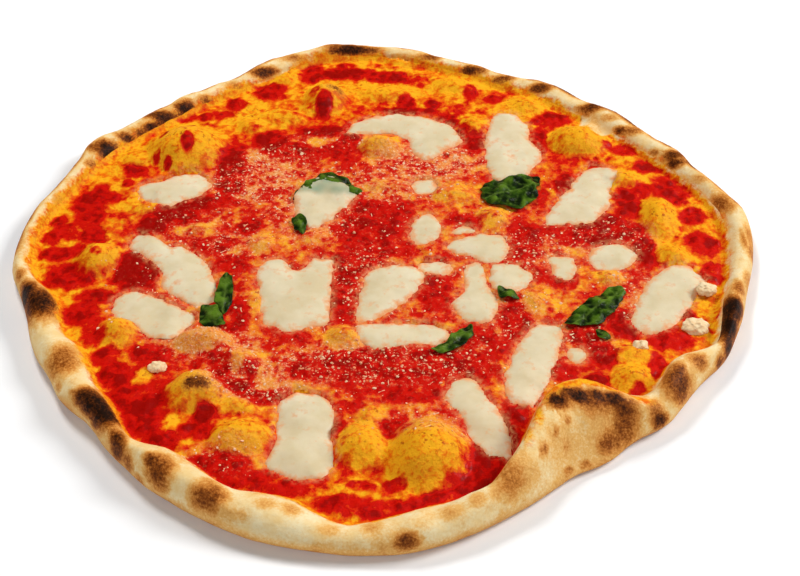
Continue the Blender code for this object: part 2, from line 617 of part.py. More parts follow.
def fuse_grated_cheese(sauce, loops):
    """Join crumbs of grated cheese to the sauce, clear of every loop of other toppings."""
    draw = random.Random(SEED)
    crumbs = bpy.data.collections.new("grated_crumbs")
    bpy.context.scene.collection.children.link(crumbs)
    tree = BVHTree.FromObject(sauce, bpy.context.evaluated_depsgraph_get())
    placed = []
    for spot, radius in wanted_crumbs(draw):
        if len(placed) == GRATED_CRUMBS:
            break
        if any((spot - other).length < GRATED_SPACING for other in placed):
            continue
        if any(inside(spot, loop) or edge_distance(spot, loop) < GRATED_CLEAR for loop in loops):
            continue
        foot = crumb_foot(tree, spot, radius)
        if foot is not None:
            placed.append(spot)
            crumbs.objects.link(grated_crumb(foot, radius, draw))
    union = sauce.modifiers.new("grated", "BOOLEAN")
    union.operation = "UNION"
    union.operand_type = "COLLECTION"
    union.collection = crumbs
    union.solver = "EXACT"
    fused = bpy.data.meshes.new_from_object(sauce.evaluated_get(bpy.context.evaluated_depsgraph_get()))
    sauce.modifiers.clear()
    sauce.data = fused
    for crumb in list(crumbs.objects):
        bpy.data.objects.remove(crumb)
    bpy.data.collections.remove(crumbs)


class Ground:
    """The upper faces of all that is already in place, for laying the next piece on them."""

    def __init__(self):
        self.layers = []

    def add(self, item):
        """Add a finished object to what the next pieces lie on."""
        corners = [vert.co for vert in item.data.vertices]
        low = [min(corner[k] for corner in corners) for k in (0, 1)]
        high = [max(corner[k] for corner in corners) for k in (0, 1)]
        mesh_data = bmesh.new()
        mesh_data.from_mesh(item.data)
        self.layers.append((BVHTree.FromBMesh(mesh_data), low, high))
        mesh_data.free()

    def height(self, point):
        """Height of the highest face at a plan point."""
        x, y = (point[0] - PLAN_MIDDLE[0]) * MM, (point[1] - PLAN_MIDDLE[1]) * MM
        best = 0.0
        for tree, low, high in self.layers:
            if low[0] <= x <= high[0] and low[1] <= y <= high[1]:
                hit = tree.ray_cast((x, y, 1.0), (0, 0, -1))[0]
                if hit is not None:
                    best = max(best, hit.z / MM)
        return best


def laid_heights(points, triangles, ground):
    """The lowest heights at which the triangles clear the ground under them by the gap."""
    heights = [ground.height(point) + GAP for point in points]
    for triangle in triangles:
        for i in range(LAID_STEPS + 1):
            for j in range(LAID_STEPS + 1 - i):
                shares = (i / LAID_STEPS, j / LAID_STEPS, 1 - (i + j) / LAID_STEPS)
                spot = sum((points[n] * share for n, share in zip(triangle, shares)), Vector((0, 0)))
                here = sum(heights[n] * share for n, share in zip(triangle, shares))
                lift = ground.height(spot) + GAP - here
                if lift > 0:
                    for n in triangle:
                        heights[n] += lift
    return heights


def filled_outline(outline, spacing):
    """Plan points and triangles of a topping from its outline, with its smooth loop."""
    loop = closed_spline(outline, spacing)
    low = [min(point[k] for point in loop) for k in (0, 1)]
    high = [max(point[k] for point in loop) for k in (0, 1)]
    inner = [
        point for point in lattice(spacing, low, high)
        if inside(point, loop) and edge_distance(point, loop) > INNER_POINTS_CLEAR * spacing
    ]
    points, triangles = fill_loop(loop, inner)
    return points, triangles, loop


def build_mozzarella(name, outline, thickness, ground, material):
    """A melted piece of mozzarella: a low cushion with a soft edge, laid on what is under it."""
    points, triangles, loop = filled_outline(outline, CHEESE_LATTICE)
    low = laid_heights(points, triangles, ground)
    high = []
    for point, height in zip(points, low):
        inward = min(1.0, edge_distance(point, loop) / CHEESE_EDGE)
        high.append(height + CHEESE_WALL + (thickness - CHEESE_WALL) * math.sqrt(1 - (1 - inward) ** 2))
    piece = make_object(name, closed_sheet(points, low, high, triangles), material)
    ground.add(piece)


def build_leaf(name, outline, ground, material):
    """A thin, wavy basil leaf laid on what is under it."""
    points, triangles, loop = filled_outline(outline, LEAF_LATTICE)
    low = laid_heights(points, triangles, ground)
    waves = [
        LEAF_WAVE * (0.5 + 0.5 * math.sin((2 * point.x + point.y) / LEAF_WAVE_SPAN))
        * min(1.0, edge_distance(point, loop) / LEAF_LATTICE + LEAF_EDGE_WAVE)
        for point in points
    ]
    low = [height + wave for height, wave in zip(low, waves)]
    high = [height + LEAF_THICKNESS for height in low]
    piece = make_object(name, closed_sheet(points, low, high, triangles), material)
    ground.add(piece)


def build_lump(name, lump, ground, material):
    """A rough lump of hard cheese with a flat foot."""
    x, y, half_length, half_width, half_height = lump
    body = bmesh.new()
    bmesh.ops.create_icosphere(body, subdivisions=2, radius=1.0)
    for vert in body.verts:
        crag = noise.noise(vert.co * LUMP_ROUGHNESS_SCALE + Vector((x, y, 0)))
        vert.co *= 1 + LUMP_ROUGHNESS * crag
        vert.co.z = max(vert.co.z, -LUMP_FOOT)
    bmesh.ops.scale(body, verts=body.verts, vec=(half_length, half_width, half_height))
    low = min(vert.co.z for vert in body.verts)
    rests = max(ground.height((x + vert.co.x, y + vert.co.y)) - (vert.co.z - low) for vert in body.verts)
    bmesh.ops.translate(body, verts=body.verts, vec=(x, y, rests + GAP - low))
    ground.add(make_object(name, body, material, smooth=False))


def main():
    """Build every piece from the dough up."""
    clear_scene()
    materials = {name: make_material(name) for name in COLOURS}
    crust, dough = build_crust(materials["crust"])
    sauce = build_sauce(dough, materials["tomato_sauce"])
    loops = [closed_spline(outline, CHEESE_LATTICE) for outline in MOZZARELLA + HIDDEN_BASIL + BASIL]
    loops += [[Vector((x + a * dx, y + b * dy)) for dx, dy in ((1, 0), (0, 1), (-1, 0), (0, -1))]
              for x, y, a, b, height in CHEESE_LUMPS]
    fuse_grated_cheese(sauce, loops)
    ground = Ground()
    ground.add(crust)
    ground.add(sauce)
    for number, outline in enumerate(HIDDEN_BASIL, 1):
        build_leaf(f"basil_{number:02d}", outline, ground, materials["basil"])
    for number, outline in enumerate(MOZZARELLA, 1):
        thickness = THIN_PIECES.get(number, CHEESE_THICKNESS)
        build_mozzarella(f"mozzarella_{number:02d}", outline, thickness, ground, materials["mozzarella"])
    for number, outline in enumerate(BASIL, len(HIDDEN_BASIL) + 1):
        build_leaf(f"basil_{number:02d}", outline, ground, materials["basil"])
    for number, lump in enumerate(CHEESE_LUMPS, 1):
        build_lump(f"cheese_lump_{number:02d}", lump, ground, materials["hard_cheese"])


main()
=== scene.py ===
"""The looks of a thin crust pizza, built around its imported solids.

The dough, the mozzarella, the basil and the lumps of hard cheese are finer copies of the solids, the crushed
tomato is laid over the dough as a sheet of pulp, and grated cheese is scattered on top. Plan places are read
in millimetres on the same plan as the solids, before their middle is moved to the origin.
"""

import logging
import math
import random
from dataclasses import dataclass
from enum import Enum
from typing import Callable, Sequence

import bmesh
import bpy
import numpy as np
from mathutils import Euler, Matrix, Vector, noise
from mathutils.bvhtree import BVHTree
from mathutils.kdtree import KDTree


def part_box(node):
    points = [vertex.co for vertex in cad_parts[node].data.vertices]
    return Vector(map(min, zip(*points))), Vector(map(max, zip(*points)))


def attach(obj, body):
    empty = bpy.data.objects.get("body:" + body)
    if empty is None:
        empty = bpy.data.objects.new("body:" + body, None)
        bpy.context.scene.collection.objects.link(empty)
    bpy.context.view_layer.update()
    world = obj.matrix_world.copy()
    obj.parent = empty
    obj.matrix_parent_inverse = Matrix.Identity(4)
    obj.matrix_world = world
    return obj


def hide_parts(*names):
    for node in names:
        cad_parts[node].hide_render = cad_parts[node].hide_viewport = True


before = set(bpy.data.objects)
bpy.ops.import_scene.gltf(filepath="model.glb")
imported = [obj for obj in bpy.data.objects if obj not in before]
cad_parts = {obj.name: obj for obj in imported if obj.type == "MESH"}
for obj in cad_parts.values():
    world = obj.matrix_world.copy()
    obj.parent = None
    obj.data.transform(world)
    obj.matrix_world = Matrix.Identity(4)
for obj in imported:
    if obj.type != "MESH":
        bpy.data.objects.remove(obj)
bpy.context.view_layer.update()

MM = 0.001
PLAN_MIDDLE = np.array([3.3, 4.0, 0.0])
FLAT = np.array([1.0, 1.0, 0.0])
# Points of a CAD node that lie nearer than this, in metres, are one point
MERGED = 0.02 * MM
BODY = "root"
LOG = logging.getLogger("pizza")
# How brightly the studio's light shows a white surface that lies flat
LIT = 1.15

Array = np.ndarray
Body = bmesh.types.BMesh
Finish = bpy.types.Material
Mesh = bpy.types.Mesh
Piece = bpy.types.Object
Socket = bpy.types.NodeSocket
Colour = tuple[float, float, float]
Spot = tuple[float, float, float, float, float]
Mark = tuple[Array, float, float, float]
# How far one step of a seed moves a noise, in patches
SEED_STEP = (17.3, 31.7, 7.9)
# The usual distance to the nearest of scattered points, in spans
USUAL_GAP = 0.42


class Layer(Enum):
    """The material slots of the record."""

    DOUGH = "crust"
    SAUCE = "tomato_sauce"
    MOZZARELLA = "mozzarella"
    BASIL = "basil"
    HARD_CHEESE = "hard_cheese"


# Where red pulp gathers: (x, y, half width, half depth, weight)
PULP = (
    (-118, 67, 6, 5, 1), (-133, 53, 4, 5, 1), (-121, 58, 3, 3, 1), (-137, 43, 9, 10, 1.1),
    (-129, 46, 6, 6, 1), (-136, 31, 8, 6, 1), (-150, 30, 5, 5, 1), (-151, 17, 5, 5, 1),
    (-145, 21, 6, 6, 1), (-133, 19, 6, 7, 1), (-147, 5, 9, 5, 1.1), (-137, 7, 4, 7, 1),
    (-139, -10, 11, 9, 1.2), (-125, -24, 9, 5, 1), (-130, -35, 8, 8, 1), (-122, -47, 6, 9, 1),
    (-115, -62, 7, 6, 1), (-109, -73, 9, 8, 1.1), (-103, -85, 8, 10, 1), (-94, -95, 11, 14, 1.2),
    (-87, -109, 9, 6, 1.1), (-73, -105, 8, 5, 1), (-70, -96, 4, 5, 1.3), (-62, -123, 13, 6, 1.1),
    (-50, -130, 13, 6, 1.1), (-32, -135, 13, 5, 1), (-12, -143, 13, 5, 1), (6, -146, 18, 5, 1.1),
    (25, -142, 13, 5, 1), (38, -135, 13, 9, 1.3), (46, -125, 12, 13, 1.3), (53, -110, 6, 13, 1.2),
    (-6, -134, 5, 3, 1), (8, -134, 5, 3, 1), (8, -105, 6, 6, 1), (-17, -102, 5, 5, 1),
    (57, -94, 5, 10, 1), (-96, -60, 9, 6, 0.8), (-66, -65, 5, 10, 1), (-60, -79, 9, 4, 1),
    (-52, -68, 3, 6, 1.2), (-48, -86, 9, 5, 1), (-37, -50, 8, 5, 0.8), (10, -68, 52, 13, 1.1),
    (12, -83, 22, 6, 0.9), (46, -56, 12, 8, 1), (60, -37, 7, 14, 1.1), (0, 28, 20, 19, 1.2),
    (-12, 0, 11, 12, 1.1), (-14, -22, 9, 18, 1.1), (5, 12, 19, 8, 1), (25, -21, 9, 13, 1.1),
    (41, 28, 9, 6, 1), (67, 10, 8, 20, 1), (-106, 25, 8, 6, 1), (-94, 33, 13, 9, 1), (-84, 43, 16, 7, 1),
    (-72, 68, 7, 21, 1.1), (-54, 92, 9, 9, 1), (-60, 26, 6, 7, 1), (-77, 12, 10, 7, 0.8),
    (-108, -5, 10, 15, 1.2), (-68, -1, 9, 6, 0.9), (-63, -36, 7, 12, 1), (-37, 153, 7, 10, 1.2),
    (-18, 152, 17, 6, 1.2), (-19, 159, 5, 5, 1.1), (2, 149, 14, 6, 1.2), (20, 144, 7, 5, 1),
    (-57, 135, 8, 8, 1.1), (-29, 119, 4, 8, 1.3), (-34, 131, 3, 7, 0.9), (13, 125, 5, 6, 1),
    (26, 124, 4, 4, 1), (46, 134, 4, 6, 1), (58, 128, 5, 4, 1), (14, 118, 15, 3, 1), (34, 108, 6, 6, 1),
    (42, 100, 4, 5, 1), (-28, 100, 11, 5, 1.1), (-40, 83, 8, 7, 0.9), (-20, 84, 12, 7, 0.8),
    (-15, 92, 6, 7, 1), (48, 92, 7, 9, 1), (-74, 124, 5, 6, 1), (-80, 114, 6, 4, 0.9),
    (-99, 112, 7, 4, 1), (-89, 113, 4, 4, 1), (-107, 91, 3, 5, 1.4), (-94, 80, 3, 6, 1.5),
    (-94, 96, 2.5, 2.5, 1.5), (-109, 76, 2, 4, 1.3), (-103, 71, 2, 3, 1.3), (86, 110, 9, 7, 1.1),
    (112, 88, 3, 3, 1.2), (121, 85, 7, 5, 1), (131, 72, 8, 6, 1.1), (138, 51, 9, 12, 1.2),
    (126, 53, 5, 7, 1), (146, 33, 7, 7, 1.1), (148, 12, 8, 9, 1.1), (150, -8, 5, 7, 1),
    (90, 56, 6, 10, 1), (118, 44, 6, 15, 1), (100, 22, 24, 11, 1.1), (121, 7, 6, 13, 1),
    (80, 94, 3, 12, 0.9), (80, -12, 9, 6, 0.8), (89, -47, 8, 9, 0.9), (108, -42, 9, 9, 0.9),
    (126, -51, 10, 8, 1.1), (135, -35, 4, 5, 1.1), (96, -61, 6, 7, 1), (91, -77, 6, 4, 1.3),
    (111, -83, 7, 4, 1.3), (118, -70, 4, 9, 1.1), (78, -72, 7, 5, 0.8), (-127, 0, 3, 3, 1.5),
    (-128, 13, 3, 3, 1.1),
)

# Where the dough shows golden: (x, y, half width, half depth, weight)
GOLD = (
    (-60, 110, 22, 12, 0.9), (0, 135, 26, 9, 0.9), (38, 142, 20, 8, 0.9), (-50, 150, 10, 8, 0.8),
    (72, 122, 14, 9, 0.9), (98, 92, 17, 12, 1.3), (131, 31, 10, 17, 1.2), (133, 4, 9, 9, 1.1),
    (118, 62, 9, 8, 1), (-95, 86, 21, 20, 1.2), (-120, 80, 9, 9, 0.8), (-152, 42, 5, 10, 0.7),
    (-127, 1, 12, 13, 1.2), (-110, 42, 12, 8, 0.9), (-112, -47, 9, 11, 1.2), (-74, -52, 13, 9, 1.1),
    (-58, -62, 13, 8, 1), (-46, -75, 5, 9, 0.9), (-74, -84, 14, 11, 1.3), (-56, -91, 13, 6, 1),
    (-54, -108, 13, 11, 1.2), (-5, -113, 11, 14, 1.2), (-2, -96, 7, 5, 0.8), (21, -118, 18, 20, 1.4),
    (-14, -50, 9, 9, 1.1), (-30, -78, 11, 4, 0.7), (18, -92, 9, 4, 0.6), (52, -70, 6, 9, 0.8),
    (107, -75, 10, 9, 1.2), (109, -60, 11, 7, 1), (0, 88, 12, 11, 1), (-28, 132, 12, 14, 0.9),
    (46, 106, 10, 10, 1), (53, 31, 9, 11, 1), (-51, 13, 9, 9, 0.9), (-30, 17, 9, 8, 0.6),
    (22, 10, 6, 6, 0.9), (-52, -26, 5, 8, 1), (70, -27, 10, 12, 0.8), (104, -11, 9, 7, 0.9),
    (35, 50, 13, 10, 0.7), (4, 56, 13, 6, 0.5), (-84, 22, 10, 6, 0.6), (-98, -74, 5, 5, 0.8),
    (-84, -100, 4, 6, 0.9), (-86, -92, 5, 4, 0.7), (-30, 92, 6, 5, 0.6), (110, 104, 12, 6, 0.7),
    (145, 62, 5, 8, 0.6), (60, 74, 6, 9, 0.6), (-98, -55, 5, 4, 0.6),
    (-126, -26, 3, 2, 0.8),
)

# Baked and charred places, read along the view on a level 6 mm up: (x, y, half width, half depth, strength)
TOAST = (
    (-150, -26, 9, 8.5, 0.9), (-156, -22, 4.5, 7, 1), (-161, -9, 2.2, 3.9, 0.5),
    (-133, -64, 5.9, 7.9, 0.52), (-132, -80, 2.1, 2.1, 0.4), (-120, -86, 6.6, 4.6, 0.88),
    (-111, -95, 6.5, 6.1, 1.02), (-104, -110, 3.2, 5, 0.8), (-98, -122, 2.8, 3.9, 0.55),
    (-92, -131, 2.3, 2.4, 0.42), (-85, -126, 5.1, 6.4, 0.66), (-89, -121, 2.4, 3, 0.72),
    (-65, -140, 6.2, 5.8, 0.62), (-51, -149, 3, 2.4, 0.2), (-42, -143, 3.8, 2.4, 0.24),
    (-32, -146, 3.4, 2.9, 0.26), (-17, -156, 3.8, 2.4, 0.2), (-1, -155, 3.4, 2.4, 0.28),
    (12, -162, 4.1, 3.3, 0.68), (29, -147, 4.6, 2.9, 0.25), (40, -141, 3.1, 2.9, 0.24),
    (50, -149, 2.3, 1.9, 0.2), (160, -18, 2.7, 4.4, 0.55), (168, 15, 1.4, 5.8, 0.42),
    (163, 39, 4.7, 4.1, 0.42), (143, 74, 6.8, 2.4, 0.8), (135, 82, 3, 1.8, 0.5), (120, 101, 5, 1.9, 0.75),
    (62, 154, 3.2, 1.6, 0.55), (10, 163, 6.4, 3.3, 0.46), (-21, 174, 8.6, 2, 0.85),
    (-44, 165, 4.3, 1.7, 0.35), (-98, 119, 7.1, 2.6, 0.82), (-108, 109, 7.1, 2.5, 0.9),
    (-120, 96, 4, 2.2, 0.5), (-134, 81, 6.9, 3.1, 0.9), (-141, 73, 2.9, 2.4, 0.55),
    (-152, 45, 2.4, 3.6, 0.35), (-158, 15, 2.3, 4.6, 0.3), (-75, -78, 5, 3.1, 0.82),
    (20, -108, 1.6, 1.3, 0.42), (26, -107, 1.6, 1.3, 0.38), (17, -113, 1.2, 2, 0.3),
    (-24, 135, 6.2, 4.5, 0.6), (-98, 102, 5, 1.9, 0.42), (-85, 76, 2.9, 2.4, 0.4), (0, 90, 6, 3.7, 0.34),
    (56, 28, 5.6, 4.1, 0.36), (-127, -3, 3.6, 2.8, 0.28), (-78, -55, 4.3, 2.1, 0.25),
    (95, 97, 4.5, 2.5, 0.24), (25, -126, 3.1, 2, 0.18), (53, -130, 5.1, 7.3, 0.42),
    (48, -137, 3.1, 3.9, 0.25), (67, -115, 2, 2.5, 0.5), (72, -105, 2, 2, 0.45), (77, -98, 2, 2, 0.46),
    (76, -113, 1.6, 2, 0.4), (76, -126, 2.4, 1.5, 0.5), (83, -123, 2.8, 1.2, 0.5),
    (92, -112, 3.6, 4, 0.62), (101, -101, 5.3, 9.1, 0.62), (91, -95, 8.1, 6.1, 0.22),
    (74, -87, 3.7, 3.1, 0.98), (81, -83, 5, 2.6, 0.8), (89, -83, 4.1, 2.1, 0.5),
    (97, -86, 4.9, 2.6, 0.95), (105, -89, 3.3, 2.6, 0.5), (115, -100, 3.6, 3.5, 0.8),
    (127, -71, 3.4, 4.7, 0.7), (136, -65, 4.6, 3.7, 0.55), (129, -85, 4.1, 5.2, 0.3),
    (108, -110, 4.8, 2.5, 0.25), (155, -30, 5.3, 7.1, 1.05), (152, -43, 5.2, 7.6, 1.05),
    (150, -56, 3.4, 5.9, 0.95), (145, -65, 3, 3.2, 0.7), (143, 80, 6.9, 3.1, 0.8),
    (-135, 85, 7.4, 4.3, 1), (-109, 112, 10, 3.8, 0.85), (-100, 120, 4.6, 3.8, 1),
    (-120, 99, 7, 2.5, 0.7), (-60, 154, 5.3, 2.6, 0.8), (-117, -89, 6.6, 5.6, 0.95),
    (-103, -114, 3.6, 6.5, 0.75), (75, -88, 4.1, 3.1, 0.9), (83, -85, 5.4, 3.1, 1.05),
    (91, -85, 4.9, 2.6, 0.9), (101, -92, 4.1, 4.1, 0.8), (76, -113, 12, 10, 0.17),
    (57, -127, 7.8, 8.8, 0.2), (91, -108, 10, 9, 0.2), (126, -78, 6.2, 7.3, 0.72),
    (114, -95, 3.3, 5.1, 0.5), (95, -110, 4.8, 5, 0.5), (92, -89, 9.8, 4.1, 0.55),
    (-126, 94, 7, 2.5, 0.8), (-115, 104, 6, 2.5, 0.9), (-90, 127, 6.2, 2.2, 0.6),
    (-76, 140, 6.2, 2.3, 0.4), (-63, 152, 6.3, 2.6, 0.8), (-45, 167, 7.5, 2.3, 0.45),
    (-17, 175, 12, 2.7, 0.9), (26, 168, 6.4, 2.3, 0.6), (47, 155, 6.9, 2.6, 0.8),
    (63, 147, 6.3, 2.6, 0.65), (82, 139, 6.8, 2.6, 0.8), (107, 121, 7.2, 3.2, 0.8),
    (125, 101, 6, 2.5, 0.55), (162, 43, 4.3, 5.3, 0.55), (155, 62, 4.8, 2.4, 0.3),
    (116, 112, 4.1, 1.9, 0.3),
)

# Sauce and oil smeared up the rim, read like the baked places: (x, y, half width, half depth, strength)
SMEARS = (
    (89, -77, 8.3, 2.6, 1), (80, -78, 5, 2.6, 1), (97, -81, 6.6, 2.1, 1), (106, -85, 5.8, 2.1, 0.9),
    (71, -85, 2.9, 4.1, 0.9), (66, -96, 2.4, 6.6, 0.8), (61, -107, 2.4, 6, 0.7),
    (112, -89, 3.7, 2.1, 0.6), (-146, 8, 3.7, 8, 0.6), (-145, -16, 2.7, 4.5, 0.5),
    (52, 146, 8.4, 2.6, 0.5), (-43, 148, 8.4, 2.6, 0.5), (15, 159, 7.4, 2, 0.5), (93, -78, 12, 3.1, 1),
    (76, -81, 5.8, 3.1, 1), (108, -87, 5.8, 2.6, 0.9),
)

# Where grated cheese lies thickest: (x, y, half width, half depth, weight)
GRATED = (
    (0, -5, 110, 95, 0.22), (-60, 60, 22, 18, 1), (-50, 75, 20, 14, 0.9), (22, 74, 28, 16, 1),
    (-30, 35, 25, 25, 0.6), (-5, -10, 16, 22, 0.8), (0, -66, 48, 14, 0.9), (-70, -54, 22, 12, 0.8),
    (-52, -76, 22, 14, 0.8), (105, 16, 22, 14, 0.7), (70, 8, 20, 14, 0.7), (112, -20, 12, 20, 0.5),
    (25, -100, 24, 14, 0.4), (-90, -30, 18, 30, 0.3), (-85, 25, 20, 24, 0.4), (60, -35, 16, 20, 0.5),
    (85, -52, 18, 14, 0.5), (-60, -120, 18, 10, 0.3), (-5, 55, 40, 16, 0.6), (-66, 12, 18, 12, 0.6),
    (35, -62, 14, 16, 0.6), (-25, 92, 26, 8, 0.4),
)


class NodeBoard:
    """A material's node tree, with short calls for the nodes that the finishes use."""

    def __init__(self, name: str) -> None:
        """Start a material that has one Principled shader.

        Args:
            name: The material's name.
        """
        self.material = bpy.data.materials.new(name)
        self.material.use_nodes = True
        self.nodes = self.material.node_tree.nodes
        self.links = self.material.node_tree.links
        self.shader = self.nodes["Principled BSDF"]
        self.place = self.nodes.new("ShaderNodeTexCoord").outputs["Object"]

    def set(self, **values: float | Colour) -> None:
        """Set the shader's own sockets; a name has _ for each space."""
        for name, value in values.items():
            self.shader.inputs[name.replace("_", " ")].default_value = value

    def feed(self, socket: str, source: Socket) -> None:
        """Link an output to one of the shader's sockets."""
        self.links.new(source, self.shader.inputs[socket])

    def put(self, target: Socket, value: object) -> None:
        """Link an output to a socket, or set it to a plain value."""
        if isinstance(value, Socket):
            self.links.new(value, target)
        else:
            target.default_value = value

    def noise(self, span_mm: float, detail: float = 2.0, rough: float = 0.5) -> Socket:
        """Noise whose patches are about span_mm across.

        Args:
            span_mm: Size of the patches in millimetres.
            detail: Octaves of finer noise.
            rough: Share of each finer octave.

        Returns:
            The noise, mostly between 0.3 and 0.7.
        """
        node = self.nodes.new("ShaderNodeTexNoise")
        node.inputs["Scale"].default_value = 1000.0 / span_mm
        node.inputs["Detail"].default_value = detail
        node.inputs["Roughness"].default_value = rough
        self.links.new(self.place, node.inputs["Vector"])
        return node.outputs["Fac"]

    def painted(self, name: str) -> Socket:
        """A value painted on the mesh's points."""
        node = self.nodes.new("ShaderNodeAttribute")
        node.attribute_name = name
        return node.outputs["Fac"]

    def math(self, operation: str, first: object, second: object = 0.0) -> Socket:
        """A Math node's result."""
        node = self.nodes.new("ShaderNodeMath")
        node.operation = operation
        self.put(node.inputs[0], first)
        self.put(node.inputs[1], second)
        return node.outputs[0]

    def plus(self, first: object, second: object) -> Socket:
        """The sum of two values."""
        return self.math("ADD", first, second)

    def times(self, first: object, second: object) -> Socket:
        """The product of two values."""
        return self.math("MULTIPLY", first, second)

    def stretch(self, value: object, low: float, high: float, to_low: float = 0.0,
                to_high: float = 1.0) -> Socket:
        """Map low..high to to_low..to_high, clamped."""
        node = self.nodes.new("ShaderNodeMapRange")
        for name, number in (("From Min", low), ("From Max", high), ("To Min", to_low), ("To Max", to_high)):
            node.inputs[name].default_value = number
        self.put(node.inputs["Value"], value)
        return node.outputs["Result"]

    def ramp(self, value: object, stops: Sequence[tuple[float, Colour]]) -> Socket:
        """A colour ramp through stops of (place, colour)."""
        node = self.nodes.new("ShaderNodeValToRGB")
        marks = node.color_ramp.elements
        while len(marks) < len(stops):
            marks.new(0.5)
        for mark, (place, colour) in zip(marks, stops):
            mark.position = place
            mark.color = (*colour, 1.0)
        self.put(node.inputs["Fac"], value)
        return node.outputs["Color"]

    def blend(self, share: object, first: object, second: object) -> Socket:
        """Mix two colours by a share from 0 to 1."""
        node = self.nodes.new("ShaderNodeMix")
        node.data_type = "RGBA"
        self.put(node.inputs[0], share)
        for target, value in ((node.inputs[6], first), (node.inputs[7], second)):
            self.put(target, (*value, 1.0) if isinstance(value, tuple) else value)
        return node.outputs[2]

    def bump(self, layers: Sequence[tuple[object, float]]) -> None:
        """Fine relief on the shader: layers of (height from 0 to 1, depth in millimetres)."""
        before = None
        for height, depth in layers:
            node = self.nodes.new("ShaderNodeBump")
            node.inputs["Distance"].default_value = depth * MM
            self.put(node.inputs["Height"], height)
            if before is not None:
                self.links.new(before, node.inputs["Normal"])
            before = node.outputs["Normal"]
        self.feed("Normal", before)


def shade(red: float, green: float, blue: float) -> Colour:
    """The linear colour that the studio's light shows as these display values of 0 to 255."""
    parts = [value / 255.0 for value in (red, green, blue)]
    linear = [part / 12.92 if part <= 0.04045 else ((part + 0.055) / 1.055) ** 2.4 for part in parts]
    return tuple(part / LIT for part in linear)


@dataclass(frozen=True)
class BakedTop:
    """The pizza's own surface: bread on the rim, oil-stained dough inside it, and crushed tomato."""

    cream: Colour = shade(247, 212, 146)
    pale: Colour = shade(252, 232, 184)
    biscuit: Colour = shade(240, 184, 104)
    tan: Colour = shade(214, 138, 60)
    brown: Colour = shade(150, 78, 22)
    dark: Colour = shade(84, 40, 12)
    char: Colour = shade(32, 15, 6)
    golden: Colour = shade(255, 180, 28)
    amber: Colour = shade(243, 124, 10)
    orange: Colour = shade(226, 74, 6)
    scarlet: Colour = shade(226, 38, 8)
    bright: Colour = shade(212, 20, 4)
    red: Colour = shade(198, 9, 2)
    deep: Colour = shade(156, 5, 0)
    frost: Colour = shade(252, 206, 150)
    milk: Colour = shade(242, 172, 112)
    peach: Colour = shade(234, 128, 62)
    speck: Colour = shade(176, 50, 10)
    relief: float = 0.7

    def material(self) -> Finish:
        """The material; toast, stain, wet, frost, milk and speck are painted on the mesh."""
        board = NodeBoard("baked_top")
        grain = board.noise(1.7, 5.0, 0.65)
        blotch = board.noise(4.0, 3.0, 0.6)
        stain = board.painted("stain")
        frost = board.painted("frost")
        # Bread: cream, and browned to char where toast is painted
        browned = board.painted("toast")
        grit = board.plus(grain, board.stretch(board.noise(0.9, 3.0, 0.6), 0.3, 0.7, -0.25, 0.25))
        speckle = board.times(board.stretch(browned, 0.1, 0.5, 0.3, 1.0),
                              board.stretch(grit, 0.1, 0.9, -0.24, 0.24))
        toast = board.plus(browned, speckle)
        baked = board.ramp(toast, (
            (0.0, self.cream), (0.16, self.biscuit), (0.34, self.tan), (0.58, self.brown), (0.8, self.dark),
            (1.0, self.char),
        ))
        bread = board.blend(board.stretch(board.noise(8.0, 3.0, 0.6), 0.35, 0.65), self.cream, self.pale)
        rind = board.blend(board.stretch(toast, 0.0, 0.14), bread, baked)
        # Sauce: golden where it is thin, deep red where the pulp is thick
        shift = board.plus(board.stretch(grain, 0.25, 0.75, -0.32, 0.32),
                           board.stretch(blotch, 0.3, 0.7, -0.22, 0.22))
        wet = board.plus(board.painted("wet"), shift)
        skin = board.ramp(board.stretch(wet, -0.8, 0.8), (
            (0.02, self.golden), (0.20, self.amber), (0.38, self.orange), (0.47, self.scarlet),
            (0.56, self.red), (0.66, self.bright), (0.80, self.red), (1.0, self.deep),
        ))
        # Cheese in the sauce: peach haze, milk around the slices, and flakes of grated cheese
        dull = board.times(frost, board.stretch(wet, -0.6, -0.05, 0.75, 0.0))
        clots = board.stretch(board.noise(2.2, 4.0, 0.65), 0.40, 0.66, 0.0, 0.7)
        milky = board.times(board.painted("milk"), clots)
        soaked = board.blend(milky, board.blend(dull, skin, self.peach), self.milk)
        mat = board.times(board.stretch(wet, -0.30, 0.20, 0.5, 0.0),
                          board.stretch(board.noise(1.3, 4.0, 0.7), 0.44, 0.60))
        flakes = board.times(board.stretch(wet, -0.2, 0.2, 1.0, 0.3),
                             board.stretch(board.noise(1.3, 3.0, 0.6), 0.57, 0.66))
        frosted = board.blend(board.times(board.math("MAXIMUM", mat, flakes), frost), soaked, self.frost)
        # Red-brown dots on the bubbles, and char on top of everything
        dots = board.stretch(board.noise(2.2, 2.0, 0.5), 0.60, 0.70, 0.0, 0.8)
        spotted = board.blend(board.times(board.painted("speck"), dots), frosted, self.speck)
        scorched = board.blend(board.stretch(toast, 0.22, 0.6), spotted, baked)
        soak = board.stretch(board.plus(stain, board.plus(grain, -0.5)), 0.25, 0.75)
        board.feed("Base Color", board.blend(soak, rind, scorched))
        board.set(Roughness=0.6, Specular_IOR_Level=0.08, Coat_Roughness=0.2)
        board.feed("Coat Weight", board.stretch(wet, -0.4, 0.3, 0.01, 0.04))
        rough = board.times(board.stretch(wet, -0.2, 0.2, 1.0, 0.5),
                            board.stretch(stain, 0.0, 1.0, 0.4, 1.0))
        board.bump(((board.times(blotch, rough), self.relief), (board.times(grain, rough), self.relief)))
        return board.material


